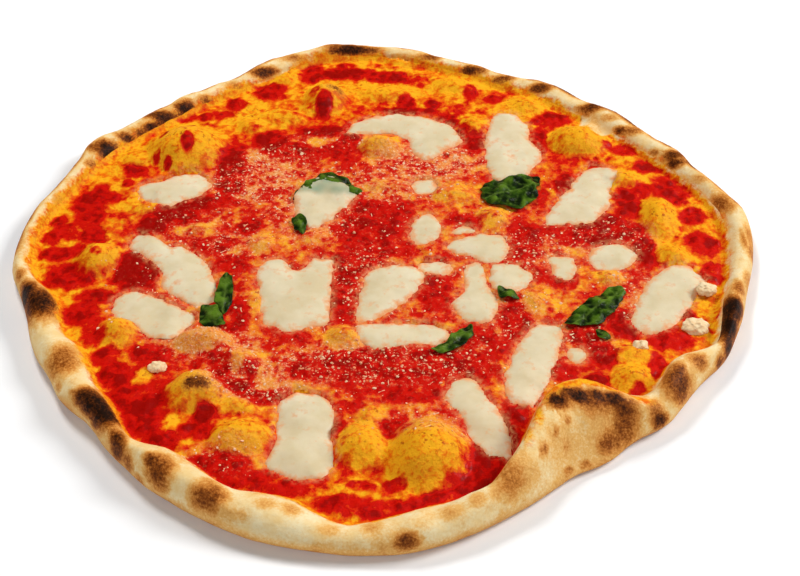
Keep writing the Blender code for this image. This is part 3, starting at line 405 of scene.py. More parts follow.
@dataclass(frozen=True)
class MeltedMozzarella:
    """Soft melted cheese: cream, with warm thin edges."""

    milk: Colour = shade(220, 202, 162)
    bright: Colour = shade(232, 218, 184)
    warm: Colour = shade(238, 158, 98)
    leaf: Colour = shade(140, 160, 130)

    def material(self) -> Finish:
        """The cheese's material; edge and shade are painted on the mesh."""
        board = NodeBoard("melted_mozzarella")
        cloud = board.noise(11.0, 3.0, 0.5)
        body = board.blend(board.stretch(cloud, 0.36, 0.68), self.milk, self.bright)
        ragged = board.stretch(board.noise(4.0, 4.0, 0.65), 0.3, 0.7, -0.65, 0.55)
        thin = board.stretch(board.noise(11.0, 2.0), 0.52, 0.7, 0.0, 0.35)
        fray = board.plus(board.plus(board.painted("edge"), thin), ragged)
        edged = board.blend(board.stretch(fray, 0.2, 1.1, 0.0, 0.95), body, self.warm)
        board.feed("Base Color", board.blend(board.painted("shade"), edged, self.leaf))
        board.set(Roughness=0.55, Specular_IOR_Level=0.15, Coat_Weight=0.12, Coat_Roughness=0.18,
                  Subsurface_Weight=0.25, Subsurface_Radius=(1.0, 0.7, 0.4), Subsurface_Scale=0.002)
        board.bump(((board.noise(6.0, 2.0, 0.5), 0.04), (board.noise(1.0, 2.0), 0.03)))
        return board.material


@dataclass(frozen=True)
class WiltedLeaf:
    """A wilted, glossy basil leaf with pale veins, and painted shade and highlights on its crinkles."""

    green: Colour = shade(38, 64, 6)
    # light and dark are a painted highlight for the crinkles' crests and a painted shade for their hollows
    light: Colour = shade(88, 120, 28)
    dark: Colour = shade(14, 28, 4)
    vein: Colour = shade(108, 138, 50)

    def material(self) -> Finish:
        """The leaf's material; the veins and the crinkles' height are painted on the mesh, and the height
        sets painted shade in the hollows and painted highlights on the crests.
        """
        board = NodeBoard("wilted_leaf")
        # Painted shade and highlight: the blade is dark where the crinkles lie low and light where they
        # stand high
        tone = board.plus(board.painted("fold_and_shade"), board.plus(board.noise(4.0, 3.0), -0.5))
        blade = board.ramp(tone, ((0.1, self.dark), (0.45, self.green), (0.95, self.light)))
        board.feed("Base Color", board.blend(board.painted("vein"), blade, self.vein))
        board.feed("Roughness", board.stretch(board.noise(2.0), 0.3, 0.7, 0.25, 0.45))
        board.set(Specular_IOR_Level=0.12)
        board.bump(((board.painted("vein"), 0.3), (board.noise(2.2, 3.0), 0.8)))
        return board.material


@dataclass(frozen=True)
class DryCheese:
    """Grated hard cheese: pale, with the sauce's colour in some bits."""

    name: str
    pale: Colour = shade(246, 208, 168)
    warm: Colour = shade(236, 146, 100)

    def material(self) -> Finish:
        """The cheese's material; tint is painted on the mesh, the same over each bit."""
        board = NodeBoard(self.name)
        tone = board.plus(board.painted("tint"), board.plus(board.noise(1.5, 2.0), -0.5))
        board.feed("Base Color", board.ramp(tone, ((0.1, self.pale), (0.9, self.warm))))
        board.feed("Roughness", board.stretch(board.noise(0.8), 0.3, 0.7, 0.45, 0.7))
        board.set(Specular_IOR_Level=0.15)
        board.bump(((board.noise(0.5, 2.0), 0.1),))
        return board.material


@dataclass(frozen=True)
class PaleFloor:
    """A smooth pale table top."""

    colour: Colour = (0.94, 0.94, 0.94)

    def material(self) -> Finish:
        """The floor's material, with a faint mottle."""
        board = NodeBoard("pale_floor")
        mottle = board.stretch(board.noise(60.0, 2.0), 0.3, 0.7)
        board.feed("Base Color", board.blend(mottle, self.colour, tuple(c * 0.995 for c in self.colour)))
        board.set(Roughness=0.8)
        return board.material


def points_of(mesh: Mesh) -> Array:
    """The mesh's points in metres, as rows of (x, y, z)."""
    places = np.zeros(len(mesh.vertices) * 3)
    mesh.vertices.foreach_get("co", places)
    return places.reshape(-1, 3)


def plan_arrays(mesh: Mesh) -> Array:
    """The mesh's points on the reading plan, in millimetres.

    Args:
        mesh: A mesh in metres about the origin.

    Returns:
        An array of (x, y, z) rows.
    """
    return points_of(mesh) / MM + PLAN_MIDDLE


def put_plan_arrays(mesh: Mesh, places: Array) -> None:
    """Write the mesh's points back from the reading plan."""
    mesh.vertices.foreach_set("co", ((places - PLAN_MIDDLE) * MM).ravel())
    mesh.update()


def paint(mesh: Mesh, name: str, values: Array) -> None:
    """Store one number for each of the mesh's points."""
    layer = mesh.attributes.new(name, "FLOAT", "POINT")
    layer.data.foreach_set("value", np.asarray(values, dtype=np.float32))


@dataclass(frozen=True)
class Ripple:
    """Smooth noise of one size: its depth, the span of its patches in millimetres, and a seed."""

    depth: float
    span: float
    seed: float = 0.0


Ripples = tuple[Ripple, ...]
Chunks = tuple[tuple[float, float], ...]


def rippled(places: Array, ripples: Ripples, number: int = 0) -> Array:
    """The sum of several smooth noises at each place.

    Args:
        places: Rows of (x, y, z) in millimetres.
        ripples: The noises to add up, each from -depth to depth.
        number: A piece's number, so that two pieces differ.

    Returns:
        One number for each row.
    """
    total = np.zeros(len(places))
    for ripple in ripples:
        shift = Vector([step * (ripple.seed + number) for step in SEED_STEP])
        field = [noise.noise(Vector(row) / ripple.span + shift) for row in places.tolist()]
        total += ripple.depth * np.array(field)
    return total


def cell_field(places: Array, span: float) -> Array:
    """Distance, in spans, from each place to the nearest of scattered points about a span apart."""
    return np.array([noise.voronoi(Vector(row) / span)[0][0] for row in places.tolist()])


def chunky(places: Array, chunks: Chunks) -> Array:
    """The sum of round bits of several sizes at each place, each size given as (depth, span)."""
    return sum(depth * (USUAL_GAP - cell_field(places, span)) for depth, span in chunks)


def strongest(places: Array, spots: Sequence[Spot], falloff: Callable[[Array], Array]) -> Array:
    """The strongest of several oval patches at each place.

    Args:
        places: Rows of (x, y, z) in millimetres.
        spots: Patches of (x, y, half width, half depth, weight).
        falloff: A patch's strength from the squared distance to its middle, 1 on its outline.

    Returns:
        One number for each row, 0 outside every patch.
    """
    best = np.zeros(len(places))
    for x, y, wide, deep, weight in spots:
        away = ((places[:, 0] - x) / wide) ** 2 + ((places[:, 1] - y) / deep) ** 2
        best = np.maximum(best, weight * falloff(away))
    return best


def patches(places: Array, spots: Sequence[Spot], end: float = 1.45) -> Array:
    """The strongest of several patches that are even inside and soft at the edge."""
    return strongest(places, spots, lambda away: np.clip(end - away, 0.0, 1.0))


def bulges(places: Array, spots: Sequence[Spot], end: float = 1.1) -> Array:
    """The strongest of several patches that are highest in the middle and fall off roundly."""
    return strongest(places, spots, lambda away: np.sqrt(np.clip(end - away, 0.0, end)))


def outward(places: Array, least: float) -> tuple[Array, Array]:
    """Unit steps away from the places' middle, and how far from it each place lies, at least so far."""
    out = places - places.mean(axis=0)
    reach = np.maximum(np.linalg.norm(out, axis=1), least)[:, None]
    return out / reach, reach


def add_object(name: str, data: bpy.types.ID) -> Piece:
    """A new object in the scene."""
    made = bpy.data.objects.new(name, data)
    bpy.context.scene.collection.objects.link(made)
    return made


def mesh_of(name: str, body: Body) -> Mesh:
    """A new mesh from a bmesh, which is freed."""
    mesh = bpy.data.meshes.new(name)
    body.to_mesh(mesh)
    body.free()
    return mesh


def new_piece(name: str, body: Body, smooth: bool = True) -> Piece:
    """A new piece from a bmesh in metres, which is freed."""
    mesh = mesh_of(name, body)
    if smooth:
        mesh.shade_smooth()
    return add_object(name, mesh)


def subdivided(mesh: Mesh, levels: int) -> Mesh:
    """A smoothly subdivided copy of a mesh, whose first points are those of the mesh."""
    carrier = add_object("carrier", mesh)
    smooth = carrier.modifiers.new("smooth", "SUBSURF")
    smooth.levels = levels
    smooth.render_levels = levels
    shown = carrier.evaluated_get(bpy.context.evaluated_depsgraph_get())
    fine = bpy.data.meshes.new_from_object(shown)
    bpy.data.objects.remove(carrier)
    return fine


def fine_copy(node: str, name: str, levels: int, passes: int = 0, push: float = 0.9) -> Piece:
    """A merged and subdivided copy of a CAD node.

    Args:
        node: The CAD node's name.
        name: The new piece's name.
        levels: Levels of subdivision.
        passes: How often the points are pushed out against the shrinking of subdivision.
        push: The share of the shrinking that each pass makes up for.

    Returns:
        The new piece.
    """
    body = bmesh.new()
    body.from_mesh(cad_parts[node].data)
    bmesh.ops.remove_doubles(body, verts=body.verts, dist=MERGED)
    cage = mesh_of("cage", body)
    wanted = points_of(cage)
    for _ in range(passes):
        shrunk = subdivided(cage, 1)
        pushed = points_of(cage) + push * (wanted - points_of(shrunk)[:len(wanted)])
        cage.vertices.foreach_set("co", pushed.ravel())
        cage.update()
        bpy.data.meshes.remove(shrunk)
    fine = subdivided(cage, levels)
    bpy.data.meshes.remove(cage)
    fine.name = name
    fine.shade_smooth()
    return add_object(name, fine)


def dress(piece: Piece, layer: Layer, material: Finish, *nodes: str) -> None:
    """Give a piece its material and body, and hide the CAD nodes that it stands for."""
    piece.data.materials.clear()
    piece.data.materials.append(material)
    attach(piece, BODY)
    if nodes:
        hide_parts(*nodes)
    LOG.info("%s: %d faces", piece.name, len(piece.data.polygons))


def tree_of(*pieces: Piece) -> BVHTree:
    """One search tree of all the pieces' faces."""
    body = bmesh.new()
    for piece in pieces:
        body.from_mesh(piece.data)
    tree = BVHTree.FromBMesh(body)
    body.free()
    return tree


def wall_points(piece: Piece, steepest: float = 0.5) -> Array:
    """The plan places of a piece's points on its steep side walls."""
    normals = np.zeros(len(piece.data.vertices) * 3)
    piece.data.vertices.foreach_get("normal", normals)
    steep = np.abs(normals.reshape(-1, 3)[:, 2]) < steepest
    return plan_arrays(piece.data)[steep] * FLAT


def plan_distance(places: Array, targets: Array) -> Array:
    """How far each place lies from the nearest target, seen from above."""
    tree = KDTree(len(targets))
    for index, target in enumerate(targets):
        tree.insert(target, index)
    tree.balance()
    return np.array([tree.find((x, y, 0.0))[2] for x, y, _ in places])


def height_at(tree: BVHTree, x: float, y: float) -> float | None:
    """Height in millimetres of a tree's highest face at a plan place, or None."""
    hit = tree.ray_cast(((x - PLAN_MIDDLE[0]) * MM, (y - PLAN_MIDDLE[1]) * MM, 1.0), (0, 0, -1))[0]
    return None if hit is None else hit.z / MM


@dataclass
class Studio:
    """The table, the light and the camera."""

    elevation: float = 41.5
    distance: float = 0.70
    lens: float = 70.0
    sensor: float = 36.0
    look_at: tuple[float, float, float] = (0.0064, -0.0155, 0.0)
    floor_size: float = 6.0
    key_power: float = 50.0
    key_size: float = 0.9
    key_place: tuple[float, float, float] = (1.9, 0.55, 1.5)
    back_power: float = 38.0
    back_size: float = 0.6
    back_place: tuple[float, float, float] = (-0.7, 1.4, 2.0)
    fill_power: float = 20.0
    fill_size: float = 1.6
    fill_place: tuple[float, float, float] = (-0.6, -1.9, 1.6)
    sky: float = 0.1

    def eye(self) -> Vector:
        """The camera's place."""
        up = math.radians(self.elevation)
        return Vector(self.look_at) + self.distance * Vector((0, -math.cos(up), math.sin(up)))

    def build(self) -> None:
        """Make the floor, lights and camera."""
        body = bmesh.new()
        bmesh.ops.create_grid(body, x_segments=1, y_segments=1, size=self.floor_size / 2)
        floor = new_piece("floor", body, smooth=False)
        floor.data.materials.append(PaleFloor().material())
        world = bpy.data.worlds.new("studio")
        world.use_nodes = True
        world.node_tree.nodes["Background"].inputs["Color"].default_value = (1.0, 1.0, 1.0, 1.0)
        world.node_tree.nodes["Background"].inputs["Strength"].default_value = self.sky
        bpy.context.scene.world = world
        self.lamp("key", self.key_place, self.key_size, self.key_power)
        self.lamp("back", self.back_place, self.back_size, self.back_power).visible_glossy = False
        self.lamp("fill", self.fill_place, self.fill_size, self.fill_power)
        lens = bpy.data.cameras.new("camera")
        lens.lens = self.lens
        lens.sensor_width = self.sensor
        camera = add_object("camera", lens)
        camera.location = self.eye()
        camera.rotation_euler = (math.radians(90 - self.elevation), 0, 0)
        bpy.context.scene.camera = camera
        bpy.context.scene.view_settings.view_transform = "Standard"

    def lamp(self, name: str, place: Sequence[float], size: float, power: float) -> Piece:
        """A square area light that faces the pizza."""
        light = bpy.data.lights.new(name, "AREA")
        light.size = size
        light.energy = power
        lamp = add_object(name, light)
        lamp.location = place
        lamp.rotation_euler = (-Vector(place)).to_track_quat("-Z", "Y").to_euler()
        return lamp


def soft_step(value: Array, low: float, high: float) -> Array:
    """A smooth rise from 0 at low to 1 at high."""
    share = np.clip((value - low) / (high - low), 0.0, 1.0)
    return share * share * (3.0 - 2.0 * share)


def soft_max(first: Array, second: Array, blend: float) -> Array:
    """The larger of two heights, rounded where they meet."""
    return 0.5 * (first + second + np.sqrt((first - second) ** 2 + blend**2))


@dataclass
class Dough:
    """The baked dough: the crust's solid made finer, with its colours painted on it."""

    eye: Vector
    levels: int = 2
    read_level: float = 6.0
    rays: int = 180
    start_radius: float = 180.0
    step: float = 0.5
    foot_level: float = 6.2
    least_crest: float = 7.2
    rim_slope: float = 15.0
    fold_middle: float = 307.0
    fold_reach: float = 24.0
    fold_slope: float = 50.0
    lumps: Ripples = (Ripple(1.0, 15.0, 15.0), Ripple(0.5, 7.0, 7.0), Ripple(0.14, 2.6, 2.6))
    smooth_height: float = 1.0
    rough_rise: float = 2.5
    mark_spread: float = 0.8
    mark_end: float = 1.6
    mark_fade: float = 1.4
    mark_fray: Ripples = (Ripple(0.25, 5.0, 3.0), Ripple(0.14, 1.8, 5.0))
    stain_climb: float = 2.6
    stain_drop: float = 1.8
    stain_right: tuple[float, float] = (50.0, 130.0)
    stain_soft: float = 3.0
    stain_fray: Ripples = (Ripple(1.8, 5.0, 3.0),)
    bake_height: float = 9.0
    under_toast: float = 0.34
    clouds: Ripples = (Ripple(1.0, 13.0, 14.0), Ripple(0.5, 5.0, 3.0))
    cloud_toast: float = 0.22
    lip_toast: float = 0.8
    lip_back: tuple[float, float] = (-60.0, 20.0)
    lip_mean: float = 0.55
    lip_gaps: Ripples = (Ripple(1.1, 11.0, 15.0),)

    def build(self) -> Piece:
        """Make the dough; its colours are painted later."""
        self.piece = fine_copy("crust", "dough", self.levels)
        self.smooth_tree = tree_of(self.piece)
        self.find_foot()
        self.places = plan_arrays(self.piece.data)
        self.roughen()
        self.tree = tree_of(self.piece)
        self.marks = self.seen_marks(TOAST)
        self.smears = self.seen_marks(SMEARS)
        return self.piece

    def find_foot(self) -> None:
        """Radii of the rim's crest and foot on each ray, walking in from the edge over the crest."""
        feet, crests = [], []
        for ray in range(self.rays):
            turn = 360.0 * ray / self.rays
            along = (math.cos(math.radians(turn)), math.sin(math.radians(turn)))
            slope = self.fold_slope if abs(turn - self.fold_middle) < self.fold_reach else self.rim_slope
            radius = crest = self.start_radius
            top = 0.0
            while top == 0.0 or radius > crest - slope:
                here = height_at(self.smooth_tree, radius * along[0], radius * along[1]) or 0.0
                if here > top:
                    crest, top = radius, here
                if top > self.least_crest and here < self.foot_level:
                    break
                radius -= self.step
            feet.append(radius)
            crests.append(crest)
        self.foot, self.crest = (
            np.median([np.roll(radii, k) for k in (-2, -1, 0, 1, 2)], axis=0) for radii in (feet, crests)
        )

    def beyond(self, places: Array, radii: Array) -> Array:
        """How far each place lies outside a line that is given by its radius on each ray."""
        turn = np.degrees(np.arctan2(places[:, 1], places[:, 0])) % 360
        steps = np.arange(self.rays + 1) * 360.0 / self.rays
        return np.hypot(places[:, 0], places[:, 1]) - np.interp(turn, steps, np.append(radii, radii[0]))

    def from_foot(self, places: Array) -> Array:
        """How far each place lies outside the rim's foot, in millimetres; inside it is negative."""
        return self.beyond(places, self.foot)

    def roughen(self) -> None:
        """Move the rim's surface up and down by noise of several sizes."""
        places = self.places
        upper = np.clip((places[:, 2] - self.smooth_height) / self.rough_rise, 0.0, 1.0)
        upper *= soft_step(self.from_foot(places), -1.0, 3.0)
        places[:, 2] += rippled(places, self.lumps) * upper
        put_plan_arrays(self.piece.data, places)

    def seen_marks(self, spots: Sequence[Spot]) -> list[Mark]:
        """The spots, each moved from the reading level to the point of the dough that it shows."""
        marks = []
        for x, y, wide, deep, strength in spots:
            mark = Vector((np.array([x, y, self.read_level]) - PLAN_MIDDLE) * MM)
            hit = self.tree.ray_cast(self.eye, (mark - self.eye).normalized())[0]
            if hit is not None:
                marks.append((np.array(hit) / MM + PLAN_MIDDLE, wide, deep, strength))
        return marks

    def marked(self, places: Array, marks: list[Mark]) -> Array:
        """The strongest of the ragged marks at each place, 0 outside them all."""
        fray = rippled(places, self.mark_fray)
        best = np.zeros(len(places))
        for centre, wide, deep, strength in marks:
            away = (places - centre) / (wide, deep, deep)
            reach = self.mark_spread * np.linalg.norm(away, axis=1) + fray
            best = np.maximum(best, strength * soft_step(self.mark_end - reach, 0.0, self.mark_fade))
        return best

    def stain(self, places: Array) -> Array:
        """How far oil has soaked each place: all of the dish, and up the rim, least on the right."""
        climb = self.stain_climb - self.stain_drop * soft_step(places[:, 0], *self.stain_right)
        climb += rippled(places, self.stain_fray)
        return soft_step(climb - self.from_foot(places), -self.stain_soft, self.stain_soft)

    def paint(self, sauce: "SauceMap") -> None:
        """Paint the dough's colours: browned in clouds, low on the outside and on the lip at the back."""
        places = self.places
        beyond = self.beyond(places, self.crest)
        under = np.clip(1.0 - places[:, 2] / self.bake_height, 0.0, 1.0) * soft_step(beyond, -3.0, 3.0)
        cloud = np.clip(rippled(places, self.clouds), 0.0, 1.0)
        lip = soft_step(beyond, -1.0, 3.0) * soft_step(places[:, 1], *self.lip_back)
        lip *= np.clip(self.lip_mean + rippled(places * FLAT, self.lip_gaps), 0.1, 0.9)
        marks = np.maximum(self.marked(places, self.marks), self.lip_toast * lip)
        toast = soft_max(marks, self.under_toast * under + self.cloud_toast * cloud, 0.02)
        stain = np.maximum(self.stain(places), self.marked(places, self.smears))
        paint(self.piece.data, "toast", toast)
        paint(self.piece.data, "stain", stain * soft_step(places[:, 2], 1.5, 3.5))
        paint(self.piece.data, "wet", sauce.wet(places))
        for name in ("frost", "milk", "speck"):
            paint(self.piece.data, name, np.zeros(len(places)))


@dataclass
class SauceMap:
    """How much crushed tomato lies at each place, above 0 where it shows red."""

    dough: Dough
    inner_radius: float = 118.0
    inner: float = -0.02
    outer: float = -0.42
    fade: float = 18.0
    pool_radius: float = 85.0
    pulp: float = 0.95
    thin_pulp: float = 0.6
    bubbles: float = 0.62
    clumps: Ripples = (Ripple(0.38, 9.0, 1.0), Ripple(0.42, 3.6, 6.0))
    chunks: Chunks = ((0.6, 6.5), (0.6, 3.4))
    bit_weight: float = 2.2
    bit_size: float = 0.30
    bit_span: float = 5.2
    foot_fray: Ripples = (Ripple(1.6, 9.0, 16.0),)
    foot_band: tuple[float, float] = (-0.2, 3.2)
    foot_wet: float = -0.62
    driest: float = -0.74
    wettest: float = 1.2

    def wet(self, places: Array) -> Array:
        """The wetness at each place."""
        spots = places * FLAT
        radius = np.hypot(spots[:, 0], spots[:, 1])
        outer = np.clip((radius - self.inner_radius) / self.fade, 0.0, 1.0)
        beyond_pool = np.clip((radius - self.pool_radius) / self.fade, 0.0, 1.0)
        level = self.inner + (self.outer - self.inner) * outer
        level += self.pulp * patches(spots, PULP) * (self.thin_pulp + (1.0 - self.thin_pulp) * beyond_pool)
        level -= self.bubbles * bulges(spots, GOLD)
        level += rippled(spots, self.clumps) + chunky(spots, self.chunks)
        level += self.bit_weight * np.clip(self.bit_size - cell_field(spots, self.bit_span), 0.0, 1.0)
        inside = rippled(spots, self.foot_fray) - self.dough.from_foot(spots)
        limit = self.foot_wet + (self.wettest - self.foot_wet) * soft_step(inside, *self.foot_band)
        return np.clip(level, self.driest, limit)


@dataclass
class Topping:
    """The sauce: one closed sheet over the dish, an oily film on the bubbles and pulp in the hollows."""

    dough: Dough
    sauce: SauceMap
    cheese: list[Piece]
    covers: BVHTree
    spacing: float = 0.92
    reach: float = 172.0
    overlap: float = 2.5
    bottom: float = 1.2
    round_off: float = 1.7
    level: float = 5.65
    swells: Ripples = (Ripple(0.3, 16.0, 21.0),)
    film: float = 0.22
    meeting: float = 0.7
    dish_band: tuple[float, float] = (0.5, 5.0)
    skin: Ripples = (Ripple(0.5, 6.5, 22.0), Ripple(0.42, 3.1, 23.0), Ripple(0.2, 1.7, 24.0))
    pulp_band: tuple[float, float] = (-0.08, 0.16)
    pulp_depth: float = 0.45
    pulp_swell: float = 0.35
    pulp_calm: float = 0.5
    mash: Chunks = ((1.5, 4.2), (0.8, 2.2))
    tuck: float = 0.9
    dome: float = 0.17
    cover_gap: float = 0.25
    halo: float = 3.0

    def build(self) -> Piece:
        """Make the sheet and paint it."""
        places = self.lattice()
        self.lift(places, self.sauce.wet(places), self.dough.from_foot(places))
        piece = self.closed_sheet(places)
        self.paint(piece)
        dress(piece, Layer.SAUCE, BakedTop().material(), "tomato_sauce")
        return piece

    def lattice(self) -> Array:
        """Places on a square lattice inside the rim's foot, at the dough's height."""
        line = np.arange(-self.reach, self.reach, self.spacing)
        grid_x, grid_y = np.meshgrid(line, line)
        places = np.stack([grid_x.ravel(), grid_y.ravel(), np.zeros(grid_x.size)], axis=1)
        out = self.dough.from_foot(places)
        kept = out < self.overlap
        solid = tree_of(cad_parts["crust"])
        for row in np.flatnonzero(out < self.overlap + 4 * self.round_off):
            places[row, 2] = height_at(solid, places[row, 0], places[row, 1]) or 0.0
        self.columns = len(line)
        places[:, 2] = self.rounded(places[:, 2].reshape(len(line), -1)).ravel()
        self.rows = np.flatnonzero(kept)
        self.order = np.full(len(places), -1)
        self.order[self.rows] = np.arange(len(self.rows))
        return places[kept]

    def rounded(self, heights: Array) -> Array:
        """The lattice's heights with the solids' facets rounded off."""
        passes = round(2 * (self.round_off / self.spacing) ** 2)
        for _ in range(passes):
            for axis in (0, 1):
                heights = 0.25 * (np.roll(heights, 1, axis) + np.roll(heights, -1, axis)) + 0.5 * heights
        return heights

    def lift(self, places: Array, wet: Array, out: Array) -> None:
        """Raise the sheet from the dough to the sauce's surface, but not above what lies on it.

        Args:
            places: The lattice's places at the dough's height; their heights are changed.
            wet: How wet each place is.
            out: How far each place lies outside the rim's foot.
        """
        flat = places * FLAT
        pulp = soft_step(wet, *self.pulp_band)
        dish = soft_step(-out, *self.dish_band)
        level = self.level + rippled(flat, self.swells)
        ground = places[:, 2] + self.domes(flat) * dish
        top = soft_max(ground + self.film, level * dish + ground * (1.0 - dish), self.meeting)
        skin = rippled(flat, self.skin) * (1.0 - self.pulp_calm * pulp)
        mash = self.pulp_depth + self.pulp_swell * np.clip(wet, 0.0, 1.0) + chunky(flat, self.mash)
        places[:, 2] = top + dish * (skin + mash * pulp)
        places[:, 2] -= self.tuck * soft_step(out, -0.5, self.overlap)
        for row in places:
            cover = height_at(self.covers, row[0], row[1])
            if cover is not None:
                row[2] = min(row[2], cover - self.cover_gap)

    def domes(self, flat: Array) -> Array:
        """How far the golden spots bulge above the solids' own bubbles."""
        spots = [(x, y, wide, deep, self.dome * min(wide, deep)) for x, y, wide, deep, _ in GOLD]
        return bulges(flat, spots, end=1.0)

    def closed_sheet(self, places: Array) -> Piece:
        """A closed solid: the lattice's cells on top, a wall around them and a flat bottom."""
        body = bmesh.new()
        verts = [body.verts.new(place) for place in (places - PLAN_MIDDLE) * MM]
        for low in self.rows:
            corners = (low, low + 1, low + 1 + self.columns, low + self.columns)
            if corners[2] >= len(self.order) or min(self.order[corner] for corner in corners) < 0:
                continue
            body.faces.new([verts[self.order[corner]] for corner in corners])
        bmesh.ops.delete(body, geom=[vert for vert in body.verts if not vert.link_faces], context="VERTS")
        rim = [edge for edge in body.edges if edge.is_boundary]
        wall = bmesh.ops.extrude_edge_only(body, edges=rim)["geom"]
        for vert in wall:
            if isinstance(vert, bmesh.types.BMVert):
                vert.co.z = self.bottom * MM
        floor = [edge for edge in wall if isinstance(edge, bmesh.types.BMEdge) and edge.is_boundary]
        bmesh.ops.triangle_fill(body, edges=floor, use_beauty=True)
        bmesh.ops.recalc_face_normals(body, faces=body.faces)
        return new_piece("sauce_and_pulp", body)

    def paint(self, piece: Piece) -> None:
        """Paint the sheet's colours."""
        spots = plan_arrays(piece.data)
        crest = [(x, y + 0.35 * deep, 0.8 * wide, 0.7 * deep, weight) for x, y, wide, deep, weight in GOLD]
        inner = [mark for mark in self.dough.marks if self.dough.from_foot(mark[0][None])[0] < 0]
        paint(piece.data, "toast", self.dough.marked(spots, inner))
        paint(piece.data, "stain", self.dough.stain(spots))
        paint(piece.data, "wet", self.sauce.wet(spots))
        paint(piece.data, "frost", np.clip(patches(spots, GRATED), 0.0, 1.0))
        paint(piece.data, "speck", np.clip(patches(spots, crest), 0.0, 1.0))
        walls = np.concatenate([wall_points(cheese) for cheese in self.cheese])
        paint(piece.data, "milk", np.clip(1.0 - plan_distance(spots, walls) / self.halo, 0.0, 1.0))


@dataclass
class FinerPieces:
    """One piece for each CAD node whose name begins alike: the solid made finer, then shaped."""

    layer: Layer
    node_start: str
    name: str
    levels: int = 2
    passes: int = 0

    def build(self) -> list[Piece]:
        """Make every piece."""
        material = self.material()
        pieces = []
        nodes = sorted(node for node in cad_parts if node.startswith(self.node_start))
        for number, node in enumerate(nodes, 1):
            piece = fine_copy(node, f"{self.name}_{number:02d}", self.levels, self.passes)
            self.shape(piece, number)
            dress(piece, self.layer, material, node)
            pieces.append(piece)
        return pieces

    def material(self) -> Finish:
        """The pieces' finish."""
        raise NotImplementedError

    def shape(self, piece: Piece, number: int) -> None:
        """Move a piece's points and paint it; the number gives each piece its own noise."""
        raise NotImplementedError


@dataclass
class MeltedPieces(FinerPieces):
    """The pieces of mozzarella: smooth, with a soft outline, and sunk into the sauce."""

    layer: Layer = Layer.MOZZARELLA
    node_start: str = "mozzarella_"
    name: str = "melted_cheese"
    passes: int = 1
    evening: int = 16
    sink: float = 1.3
    wobble: Ripples = (Ripple(1.4, 7.0), Ripple(1.0, 3.0, 40.0))
    wobble_reach: float = 8.0
    top_waves: Ripples = (Ripple(0.08, 9.0, 80.0),)
    edge_width: float = 3.4
    leaf_below: str = "basil_01"
    veil_fray: Ripples = (Ripple(1.0, 6.0, 12.0),)

    def material(self) -> Finish:
        """Melted mozzarella."""
        return MeltedMozzarella().material()

    def shape(self, piece: Piece, number: int) -> None:
        """Flatten and soften one piece, and paint its edge."""
        self.flatten(piece)
        places = plan_arrays(piece.data)
        self.soften(places, number)
        put_plan_arrays(piece.data, places)
        inward = plan_distance(places, wall_points(piece))
        paint(piece.data, "edge", np.clip(1.0 - inward / self.edge_width, 0.0, 1.0))
        paint(piece.data, "shade", self.leaf_shade(places))

    def flatten(self, piece: Piece) -> None:
        """Even out the heights of a piece, so that its top is smooth and its edge thin."""
        body = bmesh.new()
        body.from_mesh(piece.data)
        for _ in range(self.evening):
            bmesh.ops.smooth_vert(body, verts=body.verts, factor=0.5, use_axis_z=True)
        body.to_mesh(piece.data)
        body.free()

    def soften(self, places: Array, number: int) -> None:
        """Sink the piece and give its outline and top a soft unevenness."""
        flat = places * FLAT
        out, reach = outward(places[:, :2], 1.0)
        wobble = rippled(flat, self.wobble, number)[:, None]
        places[:, :2] += out * wobble * np.clip(reach / self.wobble_reach, 0.0, 1.0)
        low, high = places[:, 2].min(), places[:, 2].max()
        share = (places[:, 2] - low) / max(high - low, 0.1)
        places[:, 2] += share * rippled(flat, self.top_waves, number) - self.sink

    def leaf_shade(self, places: Array) -> Array:
        """How far the leaf below shows through the cheese at each place, least at its front end."""
        low, high = (np.array(corner) / MM + PLAN_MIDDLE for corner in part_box(self.leaf_below))
        over = np.all((places[:, :2] > low[:2]) & (places[:, :2] < high[:2]), axis=1)
        ragged = rippled(places, self.veil_fray)
        veil = soft_step(places[:, 1] - low[1] + 2.0 * ragged, 3.0, 9.0)
        return np.where(over, veil * np.clip(0.7 + 0.5 * ragged, 0.0, 0.9), 0.0)


